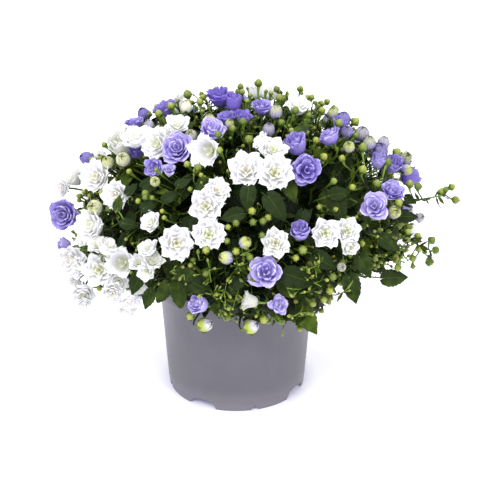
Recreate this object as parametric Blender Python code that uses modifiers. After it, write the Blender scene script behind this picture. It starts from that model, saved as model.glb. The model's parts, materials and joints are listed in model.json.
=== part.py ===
"""Potted bellflower: nursery pot, root ball, foliage and its blooms, in metres, +Z up.

All working lengths are in millimetres and are scaled once, when a mesh is made.
The plant is laid out as it is seen: each bloom, leaf and bud is a row of readings
taken across a 500 by 500 sight frame, and a sight line carries it onto the dome
of the foliage. Blooms on the far side follow a rule.
"""
import math
import random

import bmesh
import bpy
import numpy as np
from mathutils.bvhtree import BVHTree

MM = 0.001

# pot
BASE_R = 56.4
WALL_TOP_R = 62.3
RIM_R = 65.0
RIM_LOW = 88.0
POT_H = 100.0
WALL = 1.0
SIDES = 40
PAD_R = 27.0
FLOOR_Z = 7.4
ARCHES = (-29.5, 60.5, 150.5, 240.5)
ARCH_WIDE = 24.0
ARCH_HIGH = 6.6
NOTCHES = (15.5, 105.5, 195.5, 285.5)
NOTCH_WIDE = 4.6
NOTCH_HIGH = 3.4
DRAIN_R = 4.6
DRAIN_AT = 43.0

# root ball
SOIL_TOP = 89.5
SOIL_GAP = 0.35
STEM_R = 2.0
HOLE_R = 2.6
HOLE_LOW = 76.0
STEMS = 10

# sight frame
EYE_RANGE = 1550.0
EYE_RISE = math.radians(30.5)
PITCH = math.radians(26.6)
FOCAL = 1850.0
EYE = np.array([11.0, -EYE_RANGE * math.cos(EYE_RISE), EYE_RANGE * math.sin(EYE_RISE)])
AHEAD = np.array([0.0, math.cos(PITCH), -math.sin(PITCH)])
ABOVE = np.array([0.0, math.sin(PITCH), math.cos(PITCH)])
RIGHT = np.array([1.0, 0.0, 0.0])

# dome of the foliage: centre and half sizes across, deep, up and down
DOME = np.array([8.0, 0.0, 130.0])
HALF = (150.0, 122.0, 124.0, 58.0)
CORE = 0.76
CORE_DOWN = 27.0
CORE_RINGS = 8
CORE_SIDES = 15

# blades and stalks
LEAF_THICK = 0.8
STALK_R = 0.75
PETIOLE_R = 1.2
CALYX_R = 2.2
SEAT_GAP = 0.35
# a bloom of a smaller radius gets one tier of lobes fewer
SMALL_BLOOM = 8.4

# blooms: across, down, width, turned right, nodding up, form, how deep it sits
# forms: o is an open rosette, b a bell seen from the side, h half open
WHITE = [
    (245.4, 168.8, 34, -5, 15, "o", 0),
    (275, 171.8, 35, 5, 10, "o", -2),
    (273.6, 149, 27, 10, 25, "o", -5),
    (260, 140, 18, -60, 30, "o", -6),
    (204.8, 151, 32, -25, 0, "b", 0),
    (155.2, 143, 32, -30, 10, "o", 0),
    (134.9, 136.3, 27, -20, 50, "o", -8),
    (118.7, 142.4, 22, -30, 40, "h", -7),
    (94.5, 176, 31, -25, 10, "o", 0),
    (73, 177, 20, -60, 40, "o", 0),
    (114.6, 195.3, 28, -25, 0, "o", 0),
    (88.8, 225, 32, -40, 10, "o", 0),
    (70.6, 260, 29, -15, 0, "o", 0),
    (98.4, 270, 33, -10, 0, "o", 0),
    (120.4, 262.6, 30, -15, 5, "b", 9),
    (146.2, 272, 18, -10, -10, "o", 0),
    (152.8, 260.8, 20, 10, 40, "o", 2),
    (147.4, 247.8, 20, -30, 40, "o", 1),
    (150, 222, 21, -60, 20, "o", 0),
    (97, 244, 19, -20, 30, "o", 0),
    (107.8, 245.5, 22, 40, 50, "o", 0),
    (83, 295, 25, -10, -40, "o", 0),
    (112.7, 294, 24, 0, -30, "o", 0),
    (129.3, 301.7, 25, 10, -60, "o", 5),
    (205.4, 205.8, 32, -5, 5, "o", 0),
    (217.8, 189.6, 25, 15, 20, "o", 0),
    (208.8, 234.5, 31, 0, 5, "o", 0),
    (177, 243, 33, 5, 0, "o", 0),
    (275.7, 242.7, 28, 0, 5, "o", 0),
    (326, 233, 29, 5, 0, "o", 0),
    (347.7, 230, 25, 10, 10, "o", -4),
    (350.4, 247, 17, 20, -20, "h", -8),
    (247.5, 300.6, 18, -75, 10, "b", 0),
    (298, 104, 24, 10, 70, "o", 0),
    (177, 124, 22, 0, 60, "o", 0),
    (60, 188, 20, -60, 0, "o", 0),
]
VIOLET = [
    (221, 93, 30, 0, 75, "o", 0),
    (234, 99, 17, 15, 80, "h", 1),
    (262, 104.5, 22, 0, 60, "o", 0),
    (244, 115, 20, 20, 60, "o", 0),
    (213, 128.6, 27, 10, 40, "o", 0),
    (295, 141, 21, -20, 50, "h", 0),
    (307, 170, 31, 10, 5, "o", 0),
    (176.5, 147.5, 31, -10, 15, "o", 0),
    (153.4, 168, 18, -10, 0, "o", 0),
    (134.6, 121.4, 20, -30, 70, "o", 0),
    (164, 105.4, 24, -50, 60, "o", 0),
    (63, 214.5, 30, -20, 0, "o", 0),
    (327.6, 134, 24, -30, 75, "o", 0),
    (393, 190, 24, 20, 30, "o", 0),
    (374.3, 206, 25, 0, 10, "o", 0),
    (300, 229, 19, -5, 30, "h", 0),
    (265.7, 272, 33, 0, 0, "o", 0),
    (196.8, 303.4, 18, -40, 10, "h", 0),
    (279, 305.4, 18, 0, 0, "o", 0),
    (394, 162.8, 17, 20, 30, "h", 0),
]
# blooms of one colour that touch and hold as one body, by their rows above
GROUPS = [
    ("W", (0, 1, 2, 3)),
    ("W", (5, 6, 7)),
    ("W", (13, 14)),
    ("W", (15, 16, 17)),
    ("W", (19, 20)),
    ("W", (22, 23)),
    ("W", (24, 25)),
    ("W", (29, 30, 31)),
    ("V", (0, 1)),
]
# half open violet and white buds of the foliage: across, down, width, turned, nodding
HALVES = [
    (107, 160.7, 12, -20, 30), (122.6, 158, 14, -10, 20), (186, 104, 12, 0, 70),
    (148.5, 123, 10, -20, 60), (269, 127, 12, 10, 50), (142.7, 111.6, 12, -10, 70),
    (84.6, 157, 14, -60, 40), (344, 116, 14, 0, 60), (347, 130, 12, 0, 50),
    (363, 131, 14, 10, 50), (369.4, 140.3, 13, 0, 40), (381, 148.5, 15, 10, 40),
    (407, 156.6, 12, 40, 40), (223.6, 257.5, 13, -40, 0), (246.6, 241.2, 12, 0, 10),
    (208, 324.5, 11, -10, -30), (254, 325.5, 11, 10, -30), (395.5, 211.5, 13, 20, 10),
    (276, 109, 13, 10, 60), (190.5, 134, 12, -10, 30), (93.6, 206.8, 16, -20, 10),
]
# leaves seen from the front: across, down, tip across, tip down, length
LEAVES = [
    (179, 295, 181, 310, 29), (162.5, 293, 155, 304, 25), (199.7, 286, 214, 293, 32),
    (301, 279, 319, 285, 36), (348.8, 286, 354, 305, 30), (394, 279, 409.5, 278, 28),
    (311, 321, 316.5, 334, 24), (339, 207, 345, 224, 35), (341, 193, 352, 190, 24),
    (247.5, 199, 246, 214, 28), (277, 208, 287, 222, 34), (231, 216, 218, 219, 26),
    (189, 276, 206, 279, 26), (118, 202, 119, 190, 20), (132, 188.6, 140, 180, 24),
    (130, 224, 143, 226, 26), (390, 244, 402, 252, 26), (409.5, 216, 424, 214, 24),
    (303, 128, 311, 120, 20), (365, 267, 372, 280, 28), (136, 284, 131, 296, 26),
    (148, 300, 144, 312, 22), (325, 262, 338, 270, 30), (236, 283, 228, 296, 28),
]
# sprays that stand out of the dome: points across, down, then how deep
SPRAYS = [
    [(362, 186, 20), (398, 203, 4), (424, 199, 0), (444, 195, 0)],
    [(368, 232, 16), (398, 236, 2), (417, 244, 0), (428, 257, 0)],
]
# closed buds: across, down, width
BUDS = [
    (258.4, 82.8, 8), (187.5, 94, 8), (200, 102, 7), (279.4, 97.8, 8), (295.5, 110, 8),
    (312, 97, 8), (322, 110, 8), (309, 115, 7), (339, 123, 8), (355.7, 137, 8),
    (345, 146, 7), (362, 148, 8), (397, 149, 8), (387, 162, 7), (410, 169, 8),
    (363, 169, 7), (325, 157, 8), (342, 158, 7), (378, 181, 7), (352.5, 187, 8),
    (418, 184, 7), (441, 190, 8), (453, 186, 7), (456, 199, 8), (420, 208, 8),
    (408, 232, 7), (418, 236, 7), (432, 240, 8), (436, 250, 8), (430, 262, 8),
    (413, 259, 7), (398, 268, 7), (236, 223, 8), (252, 211, 8), (263, 221, 7),
    (206, 274, 7), (217, 296, 8), (184, 320, 8), (228, 318, 7), (290, 323, 8),
    (303, 250, 8), (296, 262, 7), (324, 300, 7), (145, 193, 7), (334, 181, 7),
]
FAR_BLOOMS = 13
FAR_BUDS = 8
FAR_LEAVES = 26
SKIRT_LEAVES = 17


def sight(across, down):
    """Unit direction of the sight line through a point of the frame."""
    d = AHEAD + RIGHT * (across - 250.0) / FOCAL + ABOVE * (250.0 - down) / FOCAL
    return d / np.linalg.norm(d)


def dome_level(p):
    """1 on the dome's surface, less inside it."""
    q = p - DOME
    tall = np.where(q[..., 2] > 0, HALF[2], HALF[3])
    return np.sqrt((q[..., 0] / HALF[0]) ** 2 + (q[..., 1] / HALF[1]) ** 2 + (q[..., 2] / tall) ** 2)


def on_dome(across, down, sink=0.0):
    """Where the sight line first meets the dome, or comes nearest to it."""
    d = sight(across, down)
    line = EYE + d * np.arange(1150.0, 1900.0, 1.0)[:, None]
    level = dome_level(line)
    inside = np.nonzero(level <= 1.0)[0]
    k = inside[0] if len(inside) else int(np.argmin(level))
    return line[k] + d * sink


def width_at(p, across_frame):
    """Millimetres covered by a width of the frame at a point."""
    return across_frame * float((p - EYE) @ AHEAD) / FOCAL


def facing(across, down, turned, nod):
    """Axis of a bloom turned right and nodded up from facing the sight line."""
    d = sight(across, down)
    r, u = math.radians(turned), math.radians(nod)
    up = np.cross(RIGHT, d)
    up /= np.linalg.norm(up)
    return math.cos(u) * (math.cos(r) * -d + math.sin(r) * RIGHT) + math.sin(u) * up


def basis(axis, hint=(0.0, 0.0, 1.0)):
    """Columns x, y, z with z along the axis."""
    z = np.asarray(axis, float) / np.linalg.norm(axis)
    x = np.cross(np.asarray(hint, float), z)
    if np.linalg.norm(x) < 1e-3:
        x = np.cross(np.array([0.0, 1.0, 0.0]), z)
    x /= np.linalg.norm(x)
    return np.stack([x, np.cross(z, x), z], 1)


def band(a, b, odd=False):
    """Triangles between two rings of n and n, n and 2n, or 2n and n points."""
    n, m = len(a), len(b)
    faces = []
    if n == m:
        for i in range(n):
            j = (i + 1) % n
            faces += [(a[i], a[j], b[j]), (a[i], b[j], b[i])]
    elif m == 2 * n:
        for i in range(n):
            j = (i + 1) % n
            k = (2 * i + 2) % m
            faces += [(a[i], b[2 * i + 1], b[2 * i]), (a[i], a[j], b[2 * i + 1]), (a[j], b[k], b[2 * i + 1])]
    else:
        s = 1 if odd else 0
        for i in range(m):
            p, q, r = (a[(2 * i + s + t) % n] for t in range(3))
            faces += [(p, q, b[i]), (q, b[(i + 1) % m], b[i]), (q, r, b[(i + 1) % m])]
    return faces


def stack(rings, odd_flags=None, tip=None):
    """Closed solid through rings of points, with a flat start and a flat end or a tip."""
    verts, index, k = [], [], 0
    for ring in rings:
        verts.append(np.asarray(ring, float))
        index.append(list(range(k, k + len(ring))))
        k += len(ring)
    first, last = index[0], index[-1]
    faces = [(first[0], first[i + 1], first[i]) for i in range(1, len(first) - 1)]
    for i in range(len(rings) - 1):
        faces += band(index[i], index[i + 1], bool(odd_flags and odd_flags[i + 1]))
    if tip is None:
        faces += [(last[0], last[i], last[i + 1]) for i in range(1, len(last) - 1)]
    else:
        verts.append(np.asarray([tip], float))
        faces += [(last[i], last[(i + 1) % len(last)], k) for i in range(len(last))]
    return np.concatenate(verts), faces


# each ring: points, radius (tips, notches), height (tips, notches), turned half a step
FORMS = {
    "o": ([(5, .15, 0, 0), (5, .58, .36, 0), (10, (1.0, .80), (.84, .74), 0), (5, .62, .58, 0),
           (10, (.46, .70), (.80, .96), 0), (5, .40, .70, 1)], 1.0, .62),
    "s": ([(5, .17, 0, 0), (5, .60, .40, 0), (10, (1.0, .80), (.86, .76), 0), (5, .60, .58, 0)], .96, .62),
    "b": ([(5, .18, 0, 0), (5, .62, .26, 0), (10, (.76, .72), (.66, .66), 0),
           (10, (1.0, .78), (.98, .86), 0), (5, .50, .72, 0)], .96, .80),
    "c": ([(5, .24, 0, 0), (5, .90, .34, 0), (5, 1.0, .74, 0)], 1.0, 1.05),
    "h": ([(5, .22, 0, 0), (5, .80, .30, 0), (5, .92, .62, 0), (10, (1.0, .70), (1.0, .80), 0)],
          .72, .95),
}


def bloom(radius, form, turn):
    """Lobed tiers of petals round a throat; base at the origin, open toward +Z."""
    spec, tip, deep = FORMS[form]
    tall = deep * 2.0 * radius
    rings, flags = [], []
    for n, r, z, odd in spec:
        a = np.arange(n) * 2 * math.pi / n + turn + (math.pi / 5 if odd else 0.0)
        even = np.arange(n) % 2 == 0
        rr = np.where(even, r[0], r[1]) if n == 10 else np.full(n, r)
        zz = np.where(even, z[0], z[1]) if n == 10 else np.full(n, z)
        rings.append(np.stack([rr * radius * np.cos(a), rr * radius * np.sin(a), zz * tall], 1))
        flags.append(odd)
    return stack(rings, flags, (0.0, 0.0, tip * tall))


def seat(row):
    """Base point, axis and radius of a bloom from its row."""
    across, down, wide, turned, nod, form, sink = row
    centre = on_dome(across, down, sink)
    axis = facing(across, down, turned, nod)
    radius = width_at(centre, wide) / 2
    if form == "o" and radius < SMALL_BLOOM:
        form = "s"
    return centre - axis * FORMS[form][2] * 2 * radius * 0.75, axis, radius, form


def far_spots(count, seed, keep):
    """Points spread over the dome by a golden turn, kept where the rule says."""
    rng = random.Random(seed)
    out = []
    for i in range(4000):
        z = 1.0 - 1.25 * ((i * 0.754877666) % 1.0)
        a = 2 * math.pi * ((i * 0.569840291) % 1.0)
        r = math.sqrt(max(0.0, 1 - z * z))
        u = np.array([r * math.cos(a), r * math.sin(a), z])
        tall = HALF[2] if z > 0 else HALF[3]
        p = DOME + u * np.array([HALF[0], HALF[1], tall])
        n = u / np.array([HALF[0], HALF[1], tall])
        n /= np.linalg.norm(n)
        if keep(p, out):
            out.append((p, n, rng.random(), rng.random(), rng.random()))
            if len(out) == count:
                break
    return out


def tube(path, radii, sides=4, last=None, hint=(0.3, 0.2, 1.0)):
    """Rings round a path, for a stalk; the last ring can face a direction of its own."""
    path = [np.asarray(p, float) for p in path]
    rings = []
    for i, p in enumerate(path):
        ahead = path[min(i + 1, len(path) - 1)] - path[max(i - 1, 0)]
        if last is not None and i == len(path) - 1:
            ahead = last
        b = basis(ahead, hint)
        a = np.arange(sides) * 2 * math.pi / sides
        rings.append(p + radii[i] * (np.cos(a)[:, None] * b[:, 0] + np.sin(a)[:, None] * b[:, 1]))
    return rings


def bend(p0, p1, p2, p3, steps):
    """Points of a cubic curve at the given fractions."""
    t = np.asarray(steps, float)[:, None]
    return ((1 - t) ** 3 * p0 + 3 * t * (1 - t) ** 2 * p1 + 3 * t * t * (1 - t) * p2 + t ** 3 * p3)


# teeth of one edge: fraction along, fraction of the half width; then the points on the midrib
LEAF_EDGE = ((-0.04, 0.48), (0.20, 1.0), (0.37, 0.74), (0.55, 0.80), (0.72, 0.40))
PLAIN_EDGE = ((-0.03, 0.55), (0.24, 1.0), (0.42, 0.66), (0.62, 0.66))


def leaf(length, width, fold, droop, root, edge):
    """Heart shaped toothed blade along +X, face up, with its stalk run back to the root point."""
    k = len(edge)
    top = [(0.03, PETIOLE_R / (width / 2))] + list(edge) + [(1.0, 0.0)]
    top += [(t, -w) for t, w in reversed(top[:-1])]
    pts = [(root[0], root[1] + PETIOLE_R * 0.6, root[2])]
    for t, w in top:
        x, y = t * length, w * width / 2
        pts.append((x, y, fold * abs(y) - droop * length * t * t))
    pts.append((root[0], root[1] - PETIOLE_R * 0.6, root[2]))
    rim = len(pts)
    pts += [(t * length, 0.0, -droop * length * t * t) for t in (0.34, 0.68)]
    pts = np.array(pts)
    n = len(pts)
    low = pts - np.array([0, 0, LEAF_THICK])
    back = np.array([root[0] - 0.03 * length, 0.0, root[2]])
    side = np.array([-back[2], 0.0, back[0]]) / np.linalg.norm(back)
    low[[0, rim - 1]] = pts[[0, rim - 1]] + side * LEAF_THICK * 1.5
    first, second = rim, rim + 1
    half = [(i, i + 1, first) for i in (1, 2, 3)] + [(4, second, first)]
    half += [(i, i + 1, second) for i in range(4, k + 2)]
    mirror = [tuple(v if v >= rim or v == k + 2 else rim - 1 - v for v in (p, r, q)) for p, q, r in half]
    near = [(0, 1, rim - 1), (1, rim - 2, rim - 1), (1, first, rim - 2)]
    over = [(p, r, q) for p, q, r in near + half + mirror]
    under = [(p + n, r + n, q + n) for p, q, r in over]
    sides = []
    for i in range(rim):
        j = (i + 1) % rim
        sides += [(i, j, j + n), (i, j + n, i + n)]
    return np.concatenate([pts, low]), over + under + sides


def outward(verts, faces):
    """Same solid with its faces turned outward."""
    tri = verts[np.array(faces)]
    volume = np.einsum("ij,ij->i", tri[:, 0], np.cross(tri[:, 1], tri[:, 2])).sum()
    return verts, faces if volume > 0 else [f[::-1] for f in faces]


def shell(verts, faces):
    """Search tree of a solid, for finding what it would cross."""
    return BVHTree.FromPolygons([tuple(v) for v in verts], faces)


def envelope(verts, base, grow):
    """Hull round a bloom, grown away from its base."""
    bm = bmesh.new()
    far = np.linalg.norm(verts - base, axis=1).max()
    for v in base + (verts - base) * (far + grow) / far:
        bm.verts.new(v)
    bmesh.ops.convex_hull(bm, input=list(bm.verts))
    loose = [v for v in bm.verts if not v.link_faces]
    bmesh.ops.delete(bm, geom=loose, context="VERTS")
    bmesh.ops.triangulate(bm, faces=list(bm.faces))
    bm.verts.index_update()
    out = np.array([v.co[:] for v in bm.verts])
    faces = [tuple(v.index for v in f.verts) for f in bm.faces]
    bm.free()
    return outward(out, faces)


def material(name, colour, rough):
    mat = bpy.data.materials.new(name)
    mat.use_nodes = True
    shader = mat.node_tree.nodes["Principled BSDF"]
    shader.inputs["Base Color"].default_value = (*colour, 1.0)
    shader.inputs["Roughness"].default_value = rough
    mat.diffuse_color = (*colour, 1.0)
    return mat


def make(name, verts, faces, where, mat=None):
    """Mesh object in metres from points in millimetres."""
    verts, faces = outward(np.asarray(verts, float), faces)
    mesh = bpy.data.meshes.new(name)
    mesh.from_pydata([tuple(v) for v in verts * MM], [], faces)
    obj = bpy.data.objects.new(name, mesh)
    where.objects.link(obj)
    if mat:
        mesh.materials.append(mat)
    return obj


def combine(obj, solids, how, solver="MANIFOLD"):
    """Union or difference with many solids at once, applied."""
    tool = bpy.data.collections.new("operands")
    bpy.context.scene.collection.children.link(tool)
    for i, (verts, faces) in enumerate(solids):
        make("operand", verts, faces, tool)
    mod = obj.modifiers.new("combine", "BOOLEAN")
    mod.operation = how
    mod.operand_type = "COLLECTION"
    mod.collection = tool
    mod.solver = solver
    bpy.context.view_layer.update()
    graph = bpy.context.evaluated_depsgraph_get()
    mesh = bpy.data.meshes.new_from_object(obj.evaluated_get(graph))
    obj.modifiers.clear()
    old = obj.data
    obj.data = mesh
    bpy.data.meshes.remove(old)
    for item in list(tool.objects):
        data = item.data
        bpy.data.objects.remove(item)
        bpy.data.meshes.remove(data)
    bpy.data.collections.remove(tool)
    return obj


def keep_body(obj):
    """Keep the largest connected body, which fills closed hollows and drops scraps."""
    bm = bmesh.new()
    bm.from_mesh(obj.data)
    bmesh.ops.triangulate(bm, faces=list(bm.faces))
    bmesh.ops.dissolve_degenerate(bm, dist=2e-6, edges=list(bm.edges))
    bmesh.ops.triangulate(bm, faces=list(bm.faces))
    left = set(bm.faces)
    bodies = []
    while left:
        first = left.pop()
        body, queue = [first], [first]
        while queue:
            for edge in queue.pop().edges:
                for face in edge.link_faces:
                    if face in left:
                        left.remove(face)
                        body.append(face)
                        queue.append(face)
        bodies.append(body)
    bodies.sort(key=len, reverse=True)
    scraps = [f for body in bodies[1:] for f in body]
    bmesh.ops.delete(bm, geom=scraps, context="FACES")
    bm.to_mesh(obj.data)
    count = len(bm.faces)
    bm.free()
    print(obj.name, "bodies", len(bodies), "faces", count, "dropped", len(scraps))
    return obj


def soften(obj, degrees):
    """Smooth shading, but for edges sharper than an angle."""
    obj.data.shade_smooth()
    obj.data.set_sharp_from_angle(angle=math.radians(degrees))
    return obj


def turned(name, points, sides, where, mat):
    """Profile of (radius, height) points turned about +Z by a Screw modifier, applied."""
    mesh = bpy.data.meshes.new(name)
    verts = [(r * MM, 0.0, z * MM) for r, z in points]
    mesh.from_pydata(verts, [(i, i + 1) for i in range(len(points) - 1)], [])
    obj = bpy.data.objects.new(name, mesh)
    where.objects.link(obj)
    mod = obj.modifiers.new("turn", "SCREW")
    mod.steps = sides
    mod.render_steps = sides
    mod.use_merge_vertices = True
    mod.merge_threshold = 0.00005
    mod.use_smooth_shade = False
    bpy.context.view_layer.update()
    graph = bpy.context.evaluated_depsgraph_get()
    obj.data = bpy.data.meshes.new_from_object(obj.evaluated_get(graph))
    obj.modifiers.clear()
    bpy.data.meshes.remove(mesh)
    obj.data.materials.append(mat)
    bm = bmesh.new()
    bm.from_mesh(obj.data)
    bmesh.ops.recalc_face_normals(bm, faces=list(bm.faces))
    bmesh.ops.triangulate(bm, faces=list(bm.faces))
    bm.to_mesh(obj.data)
    bm.free()
    return obj


def wall_inner(z):
    return BASE_R - WALL + 0.1 + (WALL_TOP_R - BASE_R) * z / RIM_LOW


def arch_cutter(deg, wide, high, rows=3):
    """Solid that cuts one arched opening through the foot."""
    half = math.radians(wide) / 2
    mid = math.radians(deg)
    outline = [(-half, -2.0)]
    outline += [(-half * math.cos(math.pi * k / (2 * rows)), high * math.sin(math.pi * k / (2 * rows)))
                for k in range(rows)]
    outline += [(0.0, high)]
    outline += [(-x, z) for x, z in reversed(outline[:-1])]
    inner = np.array([(49.0 * math.sin(mid + x), -49.0 * math.cos(mid + x), z) for x, z in outline])
    outer = np.array([(62.0 * math.sin(mid + x), -62.0 * math.cos(mid + x), z) for x, z in outline])
    return stack([inner, outer])


def drain_cutter(deg):
    a = math.radians(deg)
    c = np.array([DRAIN_AT * math.sin(a), -DRAIN_AT * math.cos(a), 0.0])
    t = np.arange(8) * 2 * math.pi / 8
    ring = np.stack([DRAIN_R * np.cos(t), DRAIN_R * np.sin(t), np.zeros(8)], 1) + c
    return stack([ring + (0, 0, 4.0), ring + (0, 0, 12.0)])


def build_pot(where, mat):
    profile = [
        (0, 0), (PAD_R, 0), (PAD_R + 4.5, FLOOR_Z), (BASE_R - 2.6, FLOOR_Z), (BASE_R - 1.7, 0.0),
        (BASE_R - 0.3, 0.0), (WALL_TOP_R, RIM_LOW), (RIM_R - 0.3, RIM_LOW + 0.3), (RIM_R, POT_H - 0.8),
        (RIM_R - 0.8, POT_H), (wall_inner(POT_H), POT_H), (wall_inner(FLOOR_Z + 1.6), FLOOR_Z + 1.6),
        (PAD_R + 5.6, FLOOR_Z + 1.6), (PAD_R + 1.2, 1.8), (0, 1.8),
    ]
    obj = turned("pot", profile, SIDES, where, mat)
    cuts = [arch_cutter(d, ARCH_WIDE, ARCH_HIGH) for d in ARCHES]
    cuts += [arch_cutter(d, NOTCH_WIDE, NOTCH_HIGH, 2) for d in NOTCHES]
    cuts += [drain_cutter(d) for d in ARCHES]
    return soften(keep_body(combine(obj, cuts, "DIFFERENCE")), 35.0)


def stem_feet():
    """Where the main stems stand in the soil."""
    rng = random.Random(11)
    out = []
    for i in range(STEMS):
        a = 2 * math.pi * (i * 0.381966 + 0.1)
        r = 10.0 + 30.0 * math.sqrt((i + 0.5) / STEMS)
        out.append(np.array([r * math.cos(a), r * math.sin(a), 0.0]) + rng.uniform(-1.5, 1.5))
    return out


def build_soil(where, mat):
    sides = 22
    low = FLOOR_Z + 1.6 + SOIL_GAP
    points = [(0, 1.8 + SOIL_GAP), (PAD_R + 0.4, 1.8 + SOIL_GAP), (PAD_R + 4.6, low)]
    points += [(wall_inner(low) - SOIL_GAP - 0.2, low), (wall_inner(SOIL_TOP) - SOIL_GAP - 0.2, SOIL_TOP)]
    points += [(47.0, SOIL_TOP + 0.5), (33.0, SOIL_TOP + 0.5), (17.0, SOIL_TOP + 0.8), (0, SOIL_TOP + 1.0)]
    obj = turned("soil", points, sides, where, mat)
    rng = random.Random(5)
    for v in obj.data.vertices:
        if v.co.z > (SOIL_TOP - 0.1) * MM:
            v.co.z += rng.uniform(-1.2, 1.2) * MM
    holes = []
    t = np.arange(6) * 2 * math.pi / 6
    for foot in stem_feet():
        ring = np.stack([HOLE_R * np.cos(t), HOLE_R * np.sin(t), np.zeros(6)], 1) + foot
        holes.append(stack([ring + (0, 0, HOLE_LOW), ring + (0, 0, 110.0)]))
    return soften(keep_body(combine(obj, holes, "DIFFERENCE")), 35.0)


def core_half(z):
    return np.where(np.asarray(z) > 0, CORE * HALF[2], CORE_DOWN)


def core_solid():
    """Lumpy inner mass of stems and small leaves that the foliage stands on."""
    rng = random.Random(3)
    rings = []
    for k in range(CORE_RINGS, 0, -1):
        z = math.cos(math.pi * k / (CORE_RINGS + 1))
        a = (np.arange(CORE_SIDES) + 0.5 * (k % 2)) * 2 * math.pi / CORE_SIDES
        lump = np.array([rng.choice((0.93, 1.0, 1.08, 1.14)) for _ in a])
        r = math.sin(math.pi * k / (CORE_RINGS + 1)) * lump
        tall = z * float(core_half(z)) * (lump if z > 0 else np.ones(CORE_SIDES))
        x = CORE * HALF[0] * r * np.cos(a)
        y = CORE * HALF[1] * r * np.sin(a)
        rings.append(DOME + np.stack([x, y, tall], 1))
    return stack(rings)


def core_point(p, level, jitter=(0.0, 0.0)):
    """Point inside the core on the way out to p."""
    q = p - DOME
    a = math.atan2(q[1], q[0]) + jitter[0]
    flat = math.hypot(q[0], q[1])
    q = np.array([flat * math.cos(a), flat * math.sin(a), q[2] + jitter[1] * 20])
    size = math.sqrt((q[0] / HALF[0]) ** 2 + (q[1] / HALF[1]) ** 2) / CORE
    size = math.hypot(size, q[2] / float(core_half(q[2])))
    return DOME + q * level / max(size, 1e-6)


def far_rows():
    """Blooms on the side the sight lines do not reach."""
    near = [on_dome(r[0], r[1], r[6]) for r in WHITE + VIOLET]

    def keep(p, out):
        q = (p - DOME) / np.array([HALF[0], HALF[1], HALF[2] if p[2] > DOME[2] else HALF[3]])
        n = q / np.linalg.norm(q)
        if n @ AHEAD < 0.12 or p[2] < 104.0:
            return False
        if min(np.linalg.norm(p - s) for s in near) < 27.0:
            return False
        return all(np.linalg.norm(p - s[0]) > 38.0 for s in out)

    return far_spots(FAR_BLOOMS, 21, keep)


def all_blooms():
    """Every open bloom: key, base, axis, radius, form, turn."""
    out = []
    for letter, rows in (("W", WHITE), ("V", VIOLET)):
        for i, row in enumerate(rows):
            turn = (i * 1.37 + (0 if letter == "W" else 0.7)) % 1.2566
            out.append(((letter, i),) + seat(row) + (turn,))
    for i, (p, n, a, b, c) in enumerate(far_rows()):
        axis = n + 0.35 * np.array([a - 0.5, b - 0.5, c - 0.3])
        axis /= np.linalg.norm(axis)
        radius = 9.5 + 3.5 * b
        letter = "W" if p[0] < 30 and i % 3 else "V"
        out.append(((letter, 100 + i), p - axis * radius * 0.93, axis, radius, "o", 1.2 * c))
        side = basis(axis)[:, 0] * math.cos(9 * c) + basis(axis)[:, 1] * math.sin(9 * c)
        lean = axis + 0.35 * side
        lean /= np.linalg.norm(lean)
        small = radius * 0.72
        mate = p + side * (radius + small) * 0.72 - axis * 1.5
        out.append(((letter, 200 + i), mate - lean * small * 1.2, lean, small, "h", 5 * a))
    return out


def bloom_mesh(item):
    key, base, axis, radius, form, turn = item
    verts, faces = bloom(radius, form, turn)
    return verts @ basis(axis).T + base, faces


def crossed(solid, trees, skip=()):
    tree = shell(*solid)
    return [k for k, t in trees.items() if k not in skip and tree.overlap(t)]


def stalk_to(base, axis, trees, skip, rng):
    """Stalk from the core to the underside of a bloom, round the other blooms."""
    end = base - axis * SEAT_GAP
    best, fewest = None, 99
    for attempt in range(40):
        spread = 0.012 * attempt
        jitter = (rng.uniform(-spread, spread) * 3, rng.uniform(-spread, spread) * 3)
        start = core_point(base, 0.86, jitter)
        reach = np.linalg.norm(end - start)
        lead = 0.42 - 0.01 * attempt
        path = bend(start, start + (start - DOME) / np.linalg.norm(start - DOME) * reach * 0.3,
                    end - axis * reach * lead, end, (0.0, 0.6, 1.0) if reach > 26.0 else (0.0, 1.0))
        solid = stack(tube(path, (STALK_R, STALK_R, CALYX_R)[-len(path):], 3, axis))
        hits = crossed(solid, trees, skip)
        if len(hits) < fewest:
            best, fewest = solid, len(hits)
        if not hits:
            break
    return best, fewest


def leaf_solid(base, ahead, face, length, rng, edge=PLAIN_EDGE):
    """Leaf with its blade's foot at base, reaching back into the core."""
    x = ahead / np.linalg.norm(ahead)
    z = face - x * (face @ x)
    z /= np.linalg.norm(z)
    turn = np.stack([x, np.cross(z, x), z], 1)
    root = core_point(base, 0.80, (rng.uniform(-0.1, 0.1), rng.uniform(-0.4, 0.4)))
    verts, faces = leaf(length, length * 0.74, 0.22, 0.16, (root - base) @ turn, edge)
    return outward(verts @ turn.T + base, faces)


def near_pot(verts):
    """True where a solid would come too near the pot or the soil."""
    r = np.hypot(verts[:, 0], verts[:, 1])
    return bool(((r < RIM_R + 2.5) & (verts[:, 2] < POT_H + 2.0)).any())


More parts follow.
